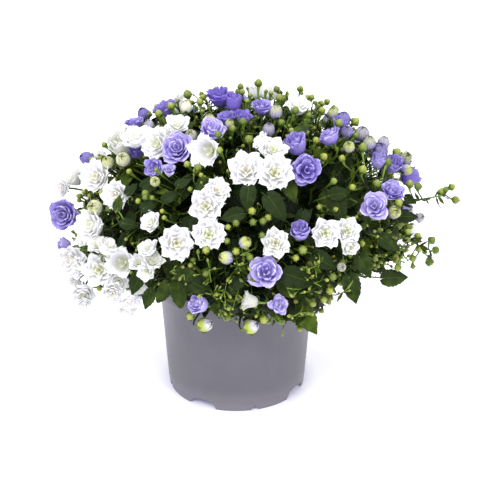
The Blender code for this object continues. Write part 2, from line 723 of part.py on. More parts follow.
def named_leaves(trees):
    """Leaves seen from the front, each set back until it clears the blooms."""
    rng = random.Random(31)
    out = []
    for across, down, tip_a, tip_d, long in LEAVES:
        done = False
        for sink in (1, -1, 3, -3, 5, 7, 9, 12, 15, 18):
            c = on_dome(across, down, sink)
            length = width_at(c, long)
            ahead = RIGHT * (tip_a - across) - ABOVE * (tip_d - down)
            ahead /= np.linalg.norm(ahead)
            q = (c - DOME) / np.array(HALF[:3]) ** 2
            face = -sight(across, down) * 0.8 + q / np.linalg.norm(q) * 0.45 + np.array([0, 0, 0.35])
            ahead = ahead - face * (ahead @ face) / (face @ face) * 0.8
            ahead /= np.linalg.norm(ahead)
            base = c - ahead * length * 0.5
            blade = leaf_solid(base, ahead, face, length, rng, LEAF_EDGE)
            if crossed(blade, trees) or near_pot(blade[0]):
                continue
            out.append(blade)
            done = True
            break
        if not done:
            print("leaf left out", across, down)
    return out


def rule_leaves(trees, count):
    """Leaves over the whole dome between the blooms, drooping outward."""
    rng = random.Random(47)
    out, spots = [], []
    for i in range(3000):
        u = 1.0 - 1.45 * rng.random()
        a = rng.uniform(0, 2 * math.pi)
        level = rng.uniform(0.86, 0.99)
        flat = math.sqrt(max(0.0, 1 - u * u))
        tall = HALF[2] if u > 0 else HALF[3]
        d = np.array([HALF[0] * flat * math.cos(a), HALF[1] * flat * math.sin(a), tall * u])
        c = DOME + d * level
        n = d / np.array([HALF[0], HALF[1], tall]) ** 2
        n /= np.linalg.norm(n)
        if spots and min(np.linalg.norm(c - s) for s in spots) < 21.0:
            continue
        tangent = np.array([math.cos(a), math.sin(a), -0.9])
        tangent = tangent + 0.8 * np.array([rng.uniform(-1, 1), rng.uniform(-1, 1), 0])
        ahead = tangent - n * (tangent @ n) * 0.8
        ahead /= np.linalg.norm(ahead)
        face = n + np.array([0, 0, 0.4])
        length = rng.uniform(20, 29)
        base = c - ahead * length * 0.5
        blade = leaf_solid(base, ahead, face, length, rng)
        if blade[0][:, 2].min() < 84.0 or near_pot(blade[0]) or crossed(blade, trees):
            continue
        out.append(blade)
        spots.append(c)
        if len(spots) == count:
            break
    print("rule leaves", len(spots))
    return out


def skirt_leaves(trees):
    """Leaves that hang round the rim of the pot."""
    rng = random.Random(59)
    out = []
    for i in range(SKIRT_LEAVES * 12):
        a = 2 * math.pi * (i % SKIRT_LEAVES + rng.uniform(-0.3, 0.3)) / SKIRT_LEAVES
        if any(abs(math.remainder(a - t, 2 * math.pi)) < 0.6 * 2 * math.pi / SKIRT_LEAVES for t, _ in out):
            continue
        away = np.array([math.cos(a), math.sin(a), 0.0])
        base = away * rng.uniform(76, 84) + np.array([0, 0, rng.uniform(107, 114)])
        ahead = away * rng.uniform(0.6, 0.9)
        ahead = ahead + np.array([rng.uniform(-0.3, 0.3), rng.uniform(-0.3, 0.3), -0.75])
        face = away + np.array([0, 0, 0.7])
        blade = leaf_solid(base, ahead - face * (ahead @ face) * 0.3, face, rng.uniform(20, 25), rng)
        if near_pot(blade[0]) or crossed(blade, trees):
            continue
        out.append((a, blade))
    print("skirt leaves", len(out))
    return [blade for _, blade in out]


def spray_lines():
    """Main stalks of the sprays, as points."""
    out = []
    for row in SPRAYS:
        pts = [on_dome(a, d, s) for a, d, s in row]
        start = core_point(pts[0], 0.85)
        out.append(np.array([start] + pts))
    return out


def bud_solid(start, end, wide):
    """Stalk and closed bud in one."""
    axis = end - start
    axis /= np.linalg.norm(axis)
    foot = end - axis * wide * 0.62
    path = [start, foot, foot + axis * wide * 0.5]
    rings = tube(path, (STALK_R, STALK_R, wide / 2))
    return stack(rings, None, end + axis * wide * 0.35)


def buds(trees):
    """Closed buds on their stalks, from the sprays or the core."""
    rng = random.Random(61)
    lines = spray_lines()
    share = np.linspace(0, 0.95, 12)[None, :, None]
    along = [l[:-1, None] + (l[1:, None] - l[:-1, None]) * share for l in lines]
    along = np.concatenate(along).reshape(-1, 3)
    out = [stack(tube(l, [STALK_R + 0.25] * 2 + [STALK_R + 0.1] * (len(l) - 2))) for l in lines]
    ends = []
    for across, down, wide in BUDS:
        ends.append((on_dome(across, down, 0), width_at(on_dome(across, down), wide), sight(across, down)))
    for p, n, a, b, c in far_spots(FAR_BUDS, 71, far_bud_rule(ends)):
        ends.append((p + n * (2 + 6 * a), 5.2 + 1.6 * b, -n))
    left = 0
    for end, wide, back in ends:
        done = False
        for attempt in range(60):
            tip = end + back * (0, 2, -2, 4, -4, 6, 8, 10, -6, 13)[attempt % 10]
            near = along[np.argmin(np.linalg.norm(along - tip, axis=1))]
            start = near if np.linalg.norm(near - tip) < 34.0 else core_point(
                tip, 0.88, (rng.uniform(-0.1, 0.1) * attempt / 9, rng.uniform(-1, 1) * attempt / 9))
            solid = bud_solid(start, tip, wide)
            if crossed(solid, trees) or near_pot(solid[0]):
                continue
            out.append(solid)
            done = True
            break
        left += not done
    print("buds", len(ends), "left out", left)
    return out


def far_bud_rule(ends):
    def keep(p, out):
        q = (p - DOME) / np.array([HALF[0], HALF[1], HALF[2] if p[2] > DOME[2] else HALF[3]])
        if (q / np.linalg.norm(q)) @ AHEAD < 0.0 or p[2] < 110.0:
            return False
        if min(np.linalg.norm(p - e[0]) for e in ends) < 14.0:
            return False
        return all(np.linalg.norm(p - s[0]) > 22.0 for s in out)
    return keep


def half_open(trees):
    """Half open buds with their stalks."""
    rng = random.Random(83)
    out = []
    left = 0
    for i, (across, down, wide, turned, nod) in enumerate(HALVES):
        done = False
        for sink in (0, 2, -2, 4, -4, 6, 8, 11):
            base, axis, radius, form = seat((across, down, wide, turned, nod, "c", sink))
            verts, faces = bloom(radius, form, i * 0.9)
            solid = (verts @ basis(axis).T + base, faces)
            if crossed(solid, trees) or near_pot(solid[0]):
                continue
            start = core_point(base, 0.86)
            stem = stack(tube([start, base + axis * 1.8], (STALK_R, 1.1), 3))
            if crossed(stem, trees):
                continue
            out += [solid, stem]
            done = True
            break
        left += not done
    print("half open", len(HALVES), "left out", left)
    return out


def build_foliage(items, where, mat):
    trees = {}
    hulls = {}
    for item in items:
        verts, faces = bloom_mesh(item)
        hulls[item[0]] = envelope(verts, item[1], 0.5)
        trees[item[0]] = shell(*hulls[item[0]])
    rng = random.Random(7)
    parts = [stalk_to(item[1], item[2], trees, (item[0],), rng)[0] for item in items if item[0][1] < 200]
    for foot in stem_feet():
        a = math.atan2(foot[1], foot[0])
        top = np.array([34 * math.cos(a), 34 * math.sin(a), 116.0])
        low = foot + (0, 0, HOLE_LOW + 0.5)
        path = [low, foot + (0, 0, 93.0), top]
        parts.append(stack(tube(path, (STEM_R, STEM_R, STEM_R * 0.9), 5)))
    parts += named_leaves(trees)
    parts += buds(trees)
    parts += half_open(trees)
    parts += skirt_leaves(trees)
    parts += rule_leaves(trees, FAR_LEAVES)
    print("foliage solids", len(parts), "triangles", sum(len(p[1]) for p in parts))
    obj = make("foliage", *core_solid(), where, mat)
    combine(obj, [outward(*p) for p in parts], "UNION")
    keep_body(obj)
    skin = BVHTree.FromPolygons([tuple(v.co / MM) for v in obj.data.vertices],
                                [tuple(p.vertices) for p in obj.data.polygons])
    close = [k for k, t in trees.items() if t.overlap(skin)]
    print("blooms the foliage is cut back from", len(close))
    if close:
        combine(obj, [hulls[k] for k in close], "DIFFERENCE")
        keep_body(obj)
    return obj


def build_blooms(items, where, mats):
    """One object for each bloom, or for each group that touches."""
    by_key = {item[0]: item for item in items}
    grouped = {}
    teams = [[(letter, i) for i in rows] for letter, rows in GROUPS]
    teams += [[k, (k[0], k[1] + 100)] for k in by_key if 100 <= k[1] < 200]
    for keys in teams:
        for k in keys:
            grouped[k] = keys
    done = set()
    names = {"W": "white", "V": "violet"}
    for key, item in by_key.items():
        if key in done:
            continue
        keys = grouped.get(key, [key])
        done.update(keys)
        word = names[key[0]]
        label = "far_" if key[1] >= 100 else ""
        kind = "blooms" if len(keys) > 1 else "bloom"
        name = "%s_%s%s_%02d" % (word, label, kind, key[1] % 100 + 1)
        obj = make(name, *bloom_mesh(item), where, mats[key[0]])
        if len(keys) > 1:
            combine(obj, [outward(*bloom_mesh(by_key[k])) for k in keys[1:]], "UNION")
            keep_body(obj)


def main():
    for obj in list(bpy.data.objects):
        bpy.data.objects.remove(obj)
    where = bpy.data.collections.new("potted_bellflower")
    bpy.context.scene.collection.children.link(where)
    grey = material("recycled plastic", (0.235, 0.225, 0.25), 0.45)
    earth = material("soil", (0.05, 0.033, 0.022), 0.95)
    green = material("leaf green", (0.09, 0.18, 0.045), 0.5)
    mats = {"W": material("white petal", (0.88, 0.87, 0.86), 0.5),
            "V": material("violet petal", (0.34, 0.27, 0.72), 0.5)}
    build_pot(where, grey)
    build_soil(where, earth)
    items = all_blooms()
    build_blooms(items, where, mats)
    build_foliage(items, where, green)
    print("objects", len(where.objects), "triangles", sum(len(o.data.polygons) for o in where.objects))


main()
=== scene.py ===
import json
import math
import random

import bpy
import numpy as np
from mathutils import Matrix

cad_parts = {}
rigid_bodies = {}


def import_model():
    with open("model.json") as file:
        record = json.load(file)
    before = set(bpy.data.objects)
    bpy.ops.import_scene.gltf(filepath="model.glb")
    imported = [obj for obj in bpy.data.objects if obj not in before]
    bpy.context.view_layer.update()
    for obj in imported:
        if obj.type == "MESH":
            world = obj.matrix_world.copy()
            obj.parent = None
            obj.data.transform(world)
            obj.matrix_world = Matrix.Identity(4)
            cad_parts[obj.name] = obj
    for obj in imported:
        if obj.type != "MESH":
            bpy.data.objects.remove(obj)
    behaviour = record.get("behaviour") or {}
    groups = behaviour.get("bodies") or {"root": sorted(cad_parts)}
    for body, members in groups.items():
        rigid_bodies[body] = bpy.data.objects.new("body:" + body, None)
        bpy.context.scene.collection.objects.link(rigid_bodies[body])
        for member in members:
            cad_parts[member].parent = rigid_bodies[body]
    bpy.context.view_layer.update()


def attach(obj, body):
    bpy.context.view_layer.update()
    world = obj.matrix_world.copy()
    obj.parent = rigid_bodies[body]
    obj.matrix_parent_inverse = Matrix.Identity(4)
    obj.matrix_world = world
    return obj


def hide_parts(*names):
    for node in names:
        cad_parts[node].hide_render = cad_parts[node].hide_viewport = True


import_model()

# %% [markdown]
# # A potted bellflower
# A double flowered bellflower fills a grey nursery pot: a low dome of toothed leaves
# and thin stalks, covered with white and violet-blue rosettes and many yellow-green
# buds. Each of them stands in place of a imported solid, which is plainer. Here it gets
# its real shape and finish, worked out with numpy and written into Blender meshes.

MM = 0.001

# %% [markdown]
# ## The camera
# The plant is seen from a little above, as one sees a pot on a table. The eye's place
# and the focal length were worked out from the pot: its foot gives the scale and the
# flatness of its ellipse gives the angle. A long lens keeps the dome from bulging. The
# same eye lays out the plant below, so a bloom lands where it is seen.

# %% Eye and camera
EYE_RANGE = 1550.0
EYE_RISE = math.radians(30.5)
PITCH = math.radians(26.6)
FOCAL = 1850.0
FRAME = 500.0
SENSOR = 36.0
EYE = np.array([11.0, -EYE_RANGE * math.cos(EYE_RISE), EYE_RANGE * math.sin(EYE_RISE)])
AHEAD = np.array([0.0, math.cos(PITCH), -math.sin(PITCH)])
ABOVE = np.array([0.0, math.sin(PITCH), math.cos(PITCH)])
RIGHT = np.array([1.0, 0.0, 0.0])

eye_data = bpy.data.cameras.new("eye")
eye_data.sensor_width = SENSOR
eye_data.lens = SENSOR * FOCAL / FRAME
eye_data.clip_end = 20.0
eye = bpy.data.objects.new("eye", eye_data)
bpy.context.scene.collection.objects.link(eye)
eye.location = EYE * MM
eye.rotation_euler = (math.pi / 2 - PITCH, 0.0, 0.0)
bpy.context.scene.camera = eye
bpy.context.scene.view_settings.view_transform = "Standard"
print("lens", round(eye_data.lens, 1), "mm")

# %% [markdown]
# ## Where everything grows
# Every bloom is a row: across and down in a 500 by 500 frame, its width there, how far
# it is turned and nodded, its form and how deep it sits. A sight line carries the row
# onto the dome of the plant. A table suits a plant best, because no rule places the
# blooms as one real plant did. The blooms of the far side follow a rule instead.

# %% The dome and the pot, in millimetres
# the dome's middle, and its half sizes to the side, in depth, upward and downward
DOME = np.array([8.0, 0.0, 130.0])
HALF = (150.0, 122.0, 124.0, 58.0)
# the heart fills this share of the dome, and reaches less far down
CORE = 0.76
HEART_HALF = (CORE * HALF[0], CORE * HALF[1], CORE * HALF[2], 27.0)
BASE_R = 56.4
WALL_TOP_R = 62.3
RIM_R = 65.0
RIM_LOW = 88.0
POT_H = 100.0
SOIL_TOP = 89.5
print("dome", 2 * HALF[0], "mm wide and", 2 * HALF[1], "mm deep, pot", POT_H, "mm high")

# %% Rows of the white blooms
# across, down and width in the frame; degrees turned right and nodded up; o open, b bell,
# h half open; millimetres behind the dome
WHITE = [
    (245.4, 168.8, 34, -5, 15, "o", 0), (275, 171.8, 35, 5, 10, "o", -2),
    (273.6, 149, 27, 10, 25, "o", -5), (260, 140, 18, -60, 30, "o", -6),
    (204.8, 151, 32, -25, 0, "b", 0), (155.2, 143, 32, -30, 10, "o", 0),
    (134.9, 136.3, 27, -20, 50, "o", -8), (118.7, 142.4, 22, -30, 40, "h", -7),
    (94.5, 176, 31, -25, 10, "o", 0), (73, 177, 20, -60, 40, "o", 0),
    (114.6, 195.3, 28, -25, 0, "o", 0), (88.8, 225, 32, -40, 10, "o", 0),
    (70.6, 260, 29, -15, 0, "o", 0), (98.4, 270, 33, -10, 0, "o", 0),
    (120.4, 262.6, 30, -15, 5, "b", 9), (146.2, 272, 18, -10, -10, "o", 0),
    (152.8, 260.8, 20, 10, 40, "o", 2), (147.4, 247.8, 20, -30, 40, "o", 1),
    (150, 222, 21, -30, 20, "o", 0), (97, 244, 19, -20, 30, "o", 0),
    (107.8, 245.5, 22, 40, 50, "o", 0), (83, 295, 25, -10, -40, "o", 0),
    (112.7, 294, 24, 0, -30, "o", 0), (129.3, 301.7, 25, 10, -60, "o", 5),
    (205.4, 205.8, 32, -5, 5, "o", 0), (217.8, 189.6, 25, 15, 20, "o", 0),
    (208.8, 234.5, 31, 0, 5, "o", 0), (177, 243, 33, 5, 0, "o", 0),
    (275.7, 242.7, 28, 0, 5, "o", 0), (326, 233, 29, 5, 0, "o", 0),
    (347.7, 230, 25, 10, 10, "o", -4), (350.4, 247, 17, 20, -20, "h", -8),
    (247.5, 300.6, 18, -75, 10, "b", 0), (298, 104, 24, 10, 50, "o", 0),
    (177, 124, 22, 0, 35, "o", 0), (60, 188, 20, -40, 0, "o", 0),
]

# %% Rows of the violet blooms, and the blooms that touch
VIOLET = [
    (221, 93, 30, 0, 75, "o", 0), (234, 99, 17, 15, 80, "h", 1),
    (262, 104.5, 22, 0, 60, "o", 0), (244, 115, 20, 20, 60, "o", 0),
    (213, 128.6, 27, 10, 40, "o", 0), (295, 141, 21, -20, 50, "h", 0),
    (307, 170, 31, 10, 5, "o", 0), (176.5, 147.5, 31, -10, 15, "o", 0),
    (153.4, 168, 18, -10, 0, "o", 0), (134.6, 121.4, 20, -30, 70, "o", 0),
    (164, 105.4, 24, -50, 60, "o", 0), (63, 214.5, 30, -20, 0, "o", 0),
    (327.6, 134, 25, -70, 55, "o", 0), (393, 190, 24, 20, 30, "o", 0),
    (374.3, 206, 25, 0, 10, "o", 0), (300, 229, 19, -5, 30, "h", 0),
    (265.7, 272, 31, 0, 8, "o", 0), (196.8, 303.4, 18, -40, 10, "h", 0),
    (279, 305.4, 18, 0, 0, "o", 0), (394, 162.8, 17, 20, 30, "h", 0),
]
# rows that touch and share a node
GROUPS = [
    ("W", (0, 1, 2, 3)), ("W", (5, 6, 7)), ("W", (13, 14)), ("W", (15, 16, 17)),
    ("W", (19, 20)), ("W", (22, 23)), ("W", (24, 25)), ("W", (29, 30, 31)), ("V", (0, 1)),
]
# small blooms deep between the others, without a node of their own
BETWEEN = [
    ("W", (77, 268, 22, -40, 0, "o", 6)), ("W", (74, 284, 18, -30, -30, "o", 4)),
    ("V", (226, 116, 20, -20, 60, "o", 5)), ("V", (169, 169, 14, 0, 20, "o", 3)),
    ("V", (62.5, 243, 12, -60, 20, "h", 8)), ("W", (84, 238, 18, -40, 30, "o", 9)),
    ("W", (138, 262, 18, 0, 20, "o", 12)), ("W", (118, 283, 20, -10, -20, "o", 10)),
    ("V", (341, 122, 15, 20, 60, "h", 3)), ("W", (168, 132, 18, 0, 50, "o", 6)),
    ("W", (140, 288, 15, 0, -40, "o", 9)), ("V", (379, 159, 15, 20, 40, "h", 6)),
    ("W", (84, 305, 17, -10, -45, "o", 2)), ("W", (126, 310, 20, 5, -50, "o", 4)),
    ("V", (136, 150, 14, -10, 30, "h", 5)),
]
FAR_BLOOMS = 13
FAR_BETWEEN = 16
print("near blooms", len(WHITE), "white and", len(VIOLET), "violet")

# %% Rows of the half open buds, leaves, sprays and closed buds
# across, down, width, turned, nodded, hue from violet to cream, how green the tip is
HALVES = [
    (107, 160.7, 12, -20, 30, 1, .7), (122.6, 158, 14, -10, 20, 1, .5), (186, 104, 12, 0, 70, 1, .2),
    (148.5, 123, 10, -20, 60, .4, .2), (269, 127, 12, 10, 50, .2, .3), (142.7, 111.6, 12, -30, 50, 0, 0),
    (84.6, 157, 13, -60, 30, 0, 0), (344, 116, 13, 0, 60, 0, .1), (347, 130, 12, 0, 30, .1, .1),
    (363, 131, 14, 10, 50, .3, .3), (369.4, 140.3, 13, 0, 60, .2, .6), (381, 148.5, 15, 10, 40, 0, .1),
    (407, 156.6, 12, 20, 20, .1, .7), (223.6, 257.5, 13, -55, 5, .5, .9), (246.6, 241.2, 12, 30, 25, .4, 1),
    (208, 324, 14, 60, 10, 1.6, 0), (254, 325.5, 14, 50, 20, 1.6, 0), (395.5, 211.5, 13, 20, 10, .6, .9),
    (276, 109, 13, 10, 60, .5, .6), (190.5, 134, 12, -10, 30, .5, .6), (93.6, 206.8, 15, -20, 10, 1, .6),
    (332.7, 110.7, 11, -10, 50, .6, .8), (349, 145.4, 11, 0, 30, .7, .9), (409, 169.5, 11, 70, 10, .3, 1),
    (155, 181, 10, 0, 10, 1, .8), (384, 140, 12, 20, 60, .4, .3), (230, 122, 9, 10, 40, .5, .8),
    (209.8, 117.5, 11, 0, 60, .7, .9), (342, 267, 9, 10, 0, .6, .5), (421, 217, 9, 30, 10, .5, .3),
]
# across, down, the tip's across and down, length, tone from deep to bright, partly the leaf's own green and
# partly painted light and shade for how it lies in the light
LEAVES = [
    (179, 295, 181, 310, 29, 0.6), (162.5, 293, 155, 304, 25, 0.5), (199.7, 286, 214, 293, 32, 0.25),
    (301, 279, 319, 285, 36, 0.05), (352.5, 290, 357.5, 309, 32, 0.5),
    (396, 277.5, 411.5, 276, 30, 0.4), (309.5, 322, 320, 338, 33, 0.8), (339, 207, 345, 224, 35, 0.2),
    (341, 193, 352, 190, 24, 0.3), (247.5, 199, 246, 214, 28, 0.2), (277, 208, 287, 222, 34, 0.25),
    (231, 216, 218, 219, 26, 0.1), (189, 276, 206, 279, 26, 0.45), (118, 202, 119, 190, 18, 0.7),
    (132, 188.6, 140, 180, 17, 0.3), (130, 224, 143, 226, 20, 0.25), (390, 244, 402, 252, 26, 0.4),
    (409.5, 216, 424, 214, 24, 0.3), (303, 128, 311, 120, 20, 0.6), (365, 267, 372, 280, 28, 0.5),
    (136, 284, 131, 296, 26, 0.3), (148, 300, 144, 312, 22, 0.4), (325, 262, 338, 270, 30, 0.2),
    (236, 283, 228, 296, 28, 0.2), (150, 183, 160, 177, 20, 0.15), (171, 196, 180, 190, 20, 0.1),
    (184, 182, 193, 177, 18, 0.2), (150, 205, 160, 200, 20, 0.15), (411, 200, 424, 206, 15, 0.3),
]
# points along two long shoots: across, down, millimetres behind the dome
SPRAYS = [
    [(362, 186, 20), (398, 203, 4), (424, 199, 0), (444, 195, 0)],
    [(368, 232, 16), (398, 236, 2), (417, 244, 0), (428, 257, 0)],
]
# across, down, width
BUDS = [
    (258.4, 82.8, 8), (187.5, 94, 9), (200, 102, 7), (279.4, 97.8, 8), (295.5, 110, 8),
    (312, 97, 6), (322, 110, 7), (309, 115, 6), (339, 123, 8), (355.7, 121.4, 9),
    (356, 135, 6), (363, 147.4, 9), (397, 152, 9), (388, 161.7, 8), (410, 184, 8),
    (362.8, 169.4, 9), (324, 156.6, 8), (342, 158, 7), (377, 183, 8), (352.5, 187, 7),
    (418, 186, 8), (441, 192, 8), (452, 187, 7), (456, 200, 8), (419, 249, 7),
    (408, 232, 7), (418, 236, 7), (432, 240, 8), (436, 250, 8), (430, 262, 9),
    (413, 259, 7), (398, 268, 7), (236, 223, 7), (252, 211, 8), (263, 221, 7),
    (206, 274, 7), (217, 296, 8), (190, 316.5, 8), (228, 318, 7), (300, 329, 6),
    (303, 250, 9), (296, 258, 7), (324, 300, 7), (145, 193, 7), (334, 181, 7),
    (171, 105.8, 8), (158.8, 113.4, 8), (104.3, 144.6, 6), (129, 171.4, 6), (92.7, 160, 8),
    (316, 140, 7), (399, 202.5, 8), (187, 164, 7), (198, 167, 8), (201, 175, 5), (206, 250, 8),
    (249, 139, 9), (218, 134, 7), (219.5, 150, 7), (232.5, 128, 7), (243, 121, 8), (156, 169.6, 4),
    (145, 197, 6), (152, 197.6, 5), (138, 201, 6), (162, 211, 5), (164, 217.5, 5), (190, 189, 5),
    (236, 251.5, 8), (228, 227, 6), (227, 241, 6), (250, 257.5, 7), (262, 235, 6), (268, 217.5, 7),
    (253, 222, 7), (313, 304, 7), (330, 291, 8), (333, 277, 8), (264, 320, 9), (279, 319, 4), (283, 323, 4),
    (250, 95, 5), (271, 93, 5), (247, 101, 5), (266, 91, 4),
    (407, 240, 7), (413, 267, 5), (446, 189, 6), (425, 252, 5),
]
# the lowest point of the leaves under each column of the frame
HEM = [
    (100, 290), (140, 298), (150, 306), (158, 292), (184, 300), (200, 312), (215, 322), (300, 326),
    (318, 312), (328, 298), (342, 284), (360, 282), (375, 274), (400, 268), (430, 262),
]
# dark leafy hollows between the blooms, with few buds: across, down, radius
HOLLOWS = [
    (158, 205, 42), (262, 210, 42), (330, 197, 34), (360, 163, 30), (214, 284, 27), (300, 272, 22),
]
print("half open buds", len(HALVES), "large leaves", len(LEAVES), "closed buds", len(BUDS))


# %% Sight lines and the dome
def sight(across, down):
    """Unit direction of the sight line through a point of the frame."""
    d = AHEAD + RIGHT * (across - FRAME / 2) / FOCAL + ABOVE * (FRAME / 2 - down) / FOCAL
    return d / np.linalg.norm(d)


def half_sizes(up, half=HALF):
    """Half sizes of the dome, as (..., 3), where up is positive above its middle."""
    tall = np.where(up > 0, half[2], half[3])
    return np.stack([np.full_like(tall, half[0]), np.full_like(tall, half[1]), tall], -1)


def dome_level(p, half=HALF):
    """1 on the dome's surface, less inside: the length of p once each side is divided by its half size."""
    q = p - DOME
    q = q / half_sizes(q[..., 2], half)
    return np.sqrt(q[..., 0] ** 2 + q[..., 1] ** 2 + q[..., 2] ** 2)


def on_dome(across, down, sink=0.0):
    """Where the sight line first meets the dome, or comes nearest to it."""
    d = sight(across, down)
    line = EYE + d * np.arange(1150.0, 1900.0, 1.0)[:, None]
    level = dome_level(line)
    inside = np.nonzero(level <= 1.0)[0]
    k = inside[0] if len(inside) else int(np.argmin(level))
    return line[k] + d * sink


def in_frame(p):
    """Across and down in the sight frame of points in millimetres."""
    q = np.asarray(p, float) - EYE
    return FRAME / 2 + FOCAL * (q @ RIGHT) / (q @ AHEAD), FRAME / 2 - FOCAL * (q @ ABOVE) / (q @ AHEAD)


def above_hem(p):
    """True for points that the eye sees above the hem of the leaves."""
    across, down = in_frame(p)
    return down < np.interp(across, *np.array(HEM, float).T)


def in_hollow(p):
    """True for points of the near side that the eye sees in one of the dark hollows."""
    hollows = np.array(HOLLOWS, float)
    gap = np.linalg.norm(np.stack(in_frame(p), -1)[:, None] - hollows[:, :2], axis=2)
    return (gap < hollows[:, 2]).any(1) & (p[:, 1] < 40.0)


def width_at(p, across_frame):
    """Millimetres covered by a width of the frame at a point."""
    return across_frame * float((p - EYE) @ AHEAD) / FOCAL


def facing(across, down, turned, nod):
    """Axis of a bloom turned right and nodded up from facing the sight line."""
    d = sight(across, down)
    r, u = math.radians(turned), math.radians(nod)
    up = np.cross(RIGHT, d)
    up /= np.linalg.norm(up)
    return math.cos(u) * (math.cos(r) * -d + math.sin(r) * RIGHT) + math.sin(u) * up


def unit(v):
    """Vectors of length one."""
    return v / (np.linalg.norm(v, axis=-1, keepdims=True) + 1e-9)


def basis(axis, hint=(0.0, 0.0, 1.0)):
    """Columns x, y, z with z along the axis, for one axis or for many."""
    z = np.asarray(axis, float)
    z = z / np.linalg.norm(z, axis=-1, keepdims=True)
    x = np.cross(np.broadcast_to(np.asarray(hint, float), z.shape), z)
    flat = np.linalg.norm(x, axis=-1, keepdims=True) < 1e-3
    x = np.where(flat, np.cross(np.array([0.0, 1.0, 0.0]), z), x)
    x = x / np.linalg.norm(x, axis=-1, keepdims=True)
    return np.stack([x, np.cross(z, x), z], -1)


print("one step of the frame covers", round(width_at(DOME, 1.0), 2), "mm at the dome's middle")

# %% Seats of the blooms, and the far side
# height of each form as a share of its width: open, small, bell, half open, closing
DEPTH = {"o": 0.62, "s": 0.62, "b": 0.80, "h": 0.95, "c": 1.05}
# an open bloom of less than this radius has fewer petals
SMALL_BLOOM = 8.4
WORD = {"W": "white", "V": "violet"}
# the far side: steps of height and angle from try to try, how many tries, and the lowest bloom
GOLDEN = (0.754877666, 0.569840291)
FAR_TRIES = 4000
FAR_LOW = 104.0


def seat(row):
    """Base point, axis, radius and form of a bloom from its row."""
    across, down, wide, turned, nod, form, sink = row
    centre = on_dome(across, down, sink)
    axis = facing(across, down, turned, nod)
    radius = width_at(centre, wide) / 2
    if form == "o" and radius < SMALL_BLOOM:
        form = "s"
    return centre - axis * DEPTH[form] * 2 * radius * 0.75, axis, radius, form


def far_spots(count, seed, near, behind, clear, apart):
    """Points, normals and three random numbers for blooms that the sight lines do not reach.

    From one try to the next the height and the angle move by two golden shares of their
    ranges, which fills the dome evenly. A try is kept where it faces away from the eye by
    the share behind, clear of the near blooms and apart from those kept before it.
    """
    draw = random.Random(seed)
    out = []
    for i in range(FAR_TRIES):
        z = 1.0 - 1.25 * ((i * GOLDEN[0]) % 1.0)
        a = 2 * math.pi * ((i * GOLDEN[1]) % 1.0)
        r = math.sqrt(max(0.0, 1 - z * z))
        u = np.array([r * math.cos(a), r * math.sin(a), z])
        p, n = DOME + u * half_sizes(z), u / half_sizes(z)
        n /= np.linalg.norm(n)
        if u @ AHEAD < behind or p[2] < FAR_LOW or np.linalg.norm(near - p, axis=1).min() < clear:
            continue
        if all(np.linalg.norm(p - kept[0]) > apart for kept in out):
            out.append((p, n, draw.random(), draw.random(), draw.random()))
            if len(out) == count:
                break
    return out


def near_blooms():
    """The blooms of the table: key, base, axis, radius, form, turn."""
    out = []
    for letter, rows, first in (("W", WHITE, 0), ("V", VIOLET, 0.7)):
        for i, row in enumerate(rows):
            out.append(((letter, i),) + seat(row) + ((i * 1.37 + first) % 1.2566,))
    return out


def far_blooms():
    """Pairs of blooms on the far side, in the same form: an open one and a half open mate beside it."""
    near = np.array([on_dome(row[0], row[1], row[6]) for row in WHITE + VIOLET])
    out = []
    spots = far_spots(FAR_BLOOMS, 21, near, behind=0.12, clear=27.0, apart=38.0)
    for i, (p, n, a, b, c) in enumerate(spots):
        axis = n + 0.35 * np.array([a - 0.5, b - 0.5, c - 0.3])
        axis /= np.linalg.norm(axis)
        radius = 9.5 + 3.5 * b
        letter = "W" if p[0] < 30 and i % 3 else "V"
        out.append(((letter, 100 + i), p - axis * radius * 0.93, axis, radius, "o", 1.2 * c))
        side = basis(axis)[:, 0] * math.cos(9 * c) + basis(axis)[:, 1] * math.sin(9 * c)
        lean = axis + 0.35 * side
        lean /= np.linalg.norm(lean)
        small = radius * 0.72
        mate = p + side * (radius + small) * 0.72 - axis * 1.5
        out.append(((letter, 200 + i), mate - lean * small * 1.2, lean, small, "h", 5 * a))
    return out


def blooms_between(near):
    """Small blooms low between the others, from the table and then on the far side."""
    out = [((letter, 300 + i),) + seat(row) + (0.4 * i,) for i, (letter, row) in enumerate(BETWEEN)]
    near = np.array([item[1] + item[2] * item[3] for item in near + out])
    spots = far_spots(FAR_BETWEEN, 33, near, behind=0.28, clear=21.0, apart=26.0)
    for i, (p, n, a, b, c) in enumerate(spots):
        axis = unit(n + 0.5 * np.array([a - 0.5, b - 0.5, c - 0.3]))
        radius = 6.8 + 1.5 * b
        key = ("W" if a < 0.5 else "V", 400 + i)
        out.append((key, p - axis * radius * 1.5, axis, radius, "h" if i % 3 == 2 else "s", 6 * c))
    return out


def node_keys(items):
    """Which blooms stand for each node, by the node's name."""
    teams = [[(letter, i) for i in rows] for letter, rows in GROUPS]
    teams += [[k, (k[0], k[1] + 100)] for k in (item[0] for item in items) if 100 <= k[1] < 200]
    grouped = {k: keys for keys in teams for k in keys}
    out = {}
    for item in items:
        keys = grouped.get(item[0], [item[0]])
        letter, number = keys[0]
        label = "far_" if number >= 100 else ""
        kind = "blooms" if len(keys) > 1 else "bloom"
        out["%s_%s%s_%02d" % (WORD[letter], label, kind, number % 100 + 1)] = keys
    return out


blooms = near_blooms() + far_blooms()
bloom_nodes = node_keys(blooms)
between = blooms_between(blooms)
print("blooms", len(blooms), "in", len(bloom_nodes), "nodes, and", len(between), "between them")

# %% [markdown]
# ## From points to a mesh
# Petals, leaves, stalks and buds are all grids of points. A blade is closed: an upper
# and a lower sheet that share their rim, so it has two sides and a real thickness. A
# basket gathers many such grids, with a few numbers for each point that the finishes
# read later: how far along the blade it lies, how far across, which copy it is on.


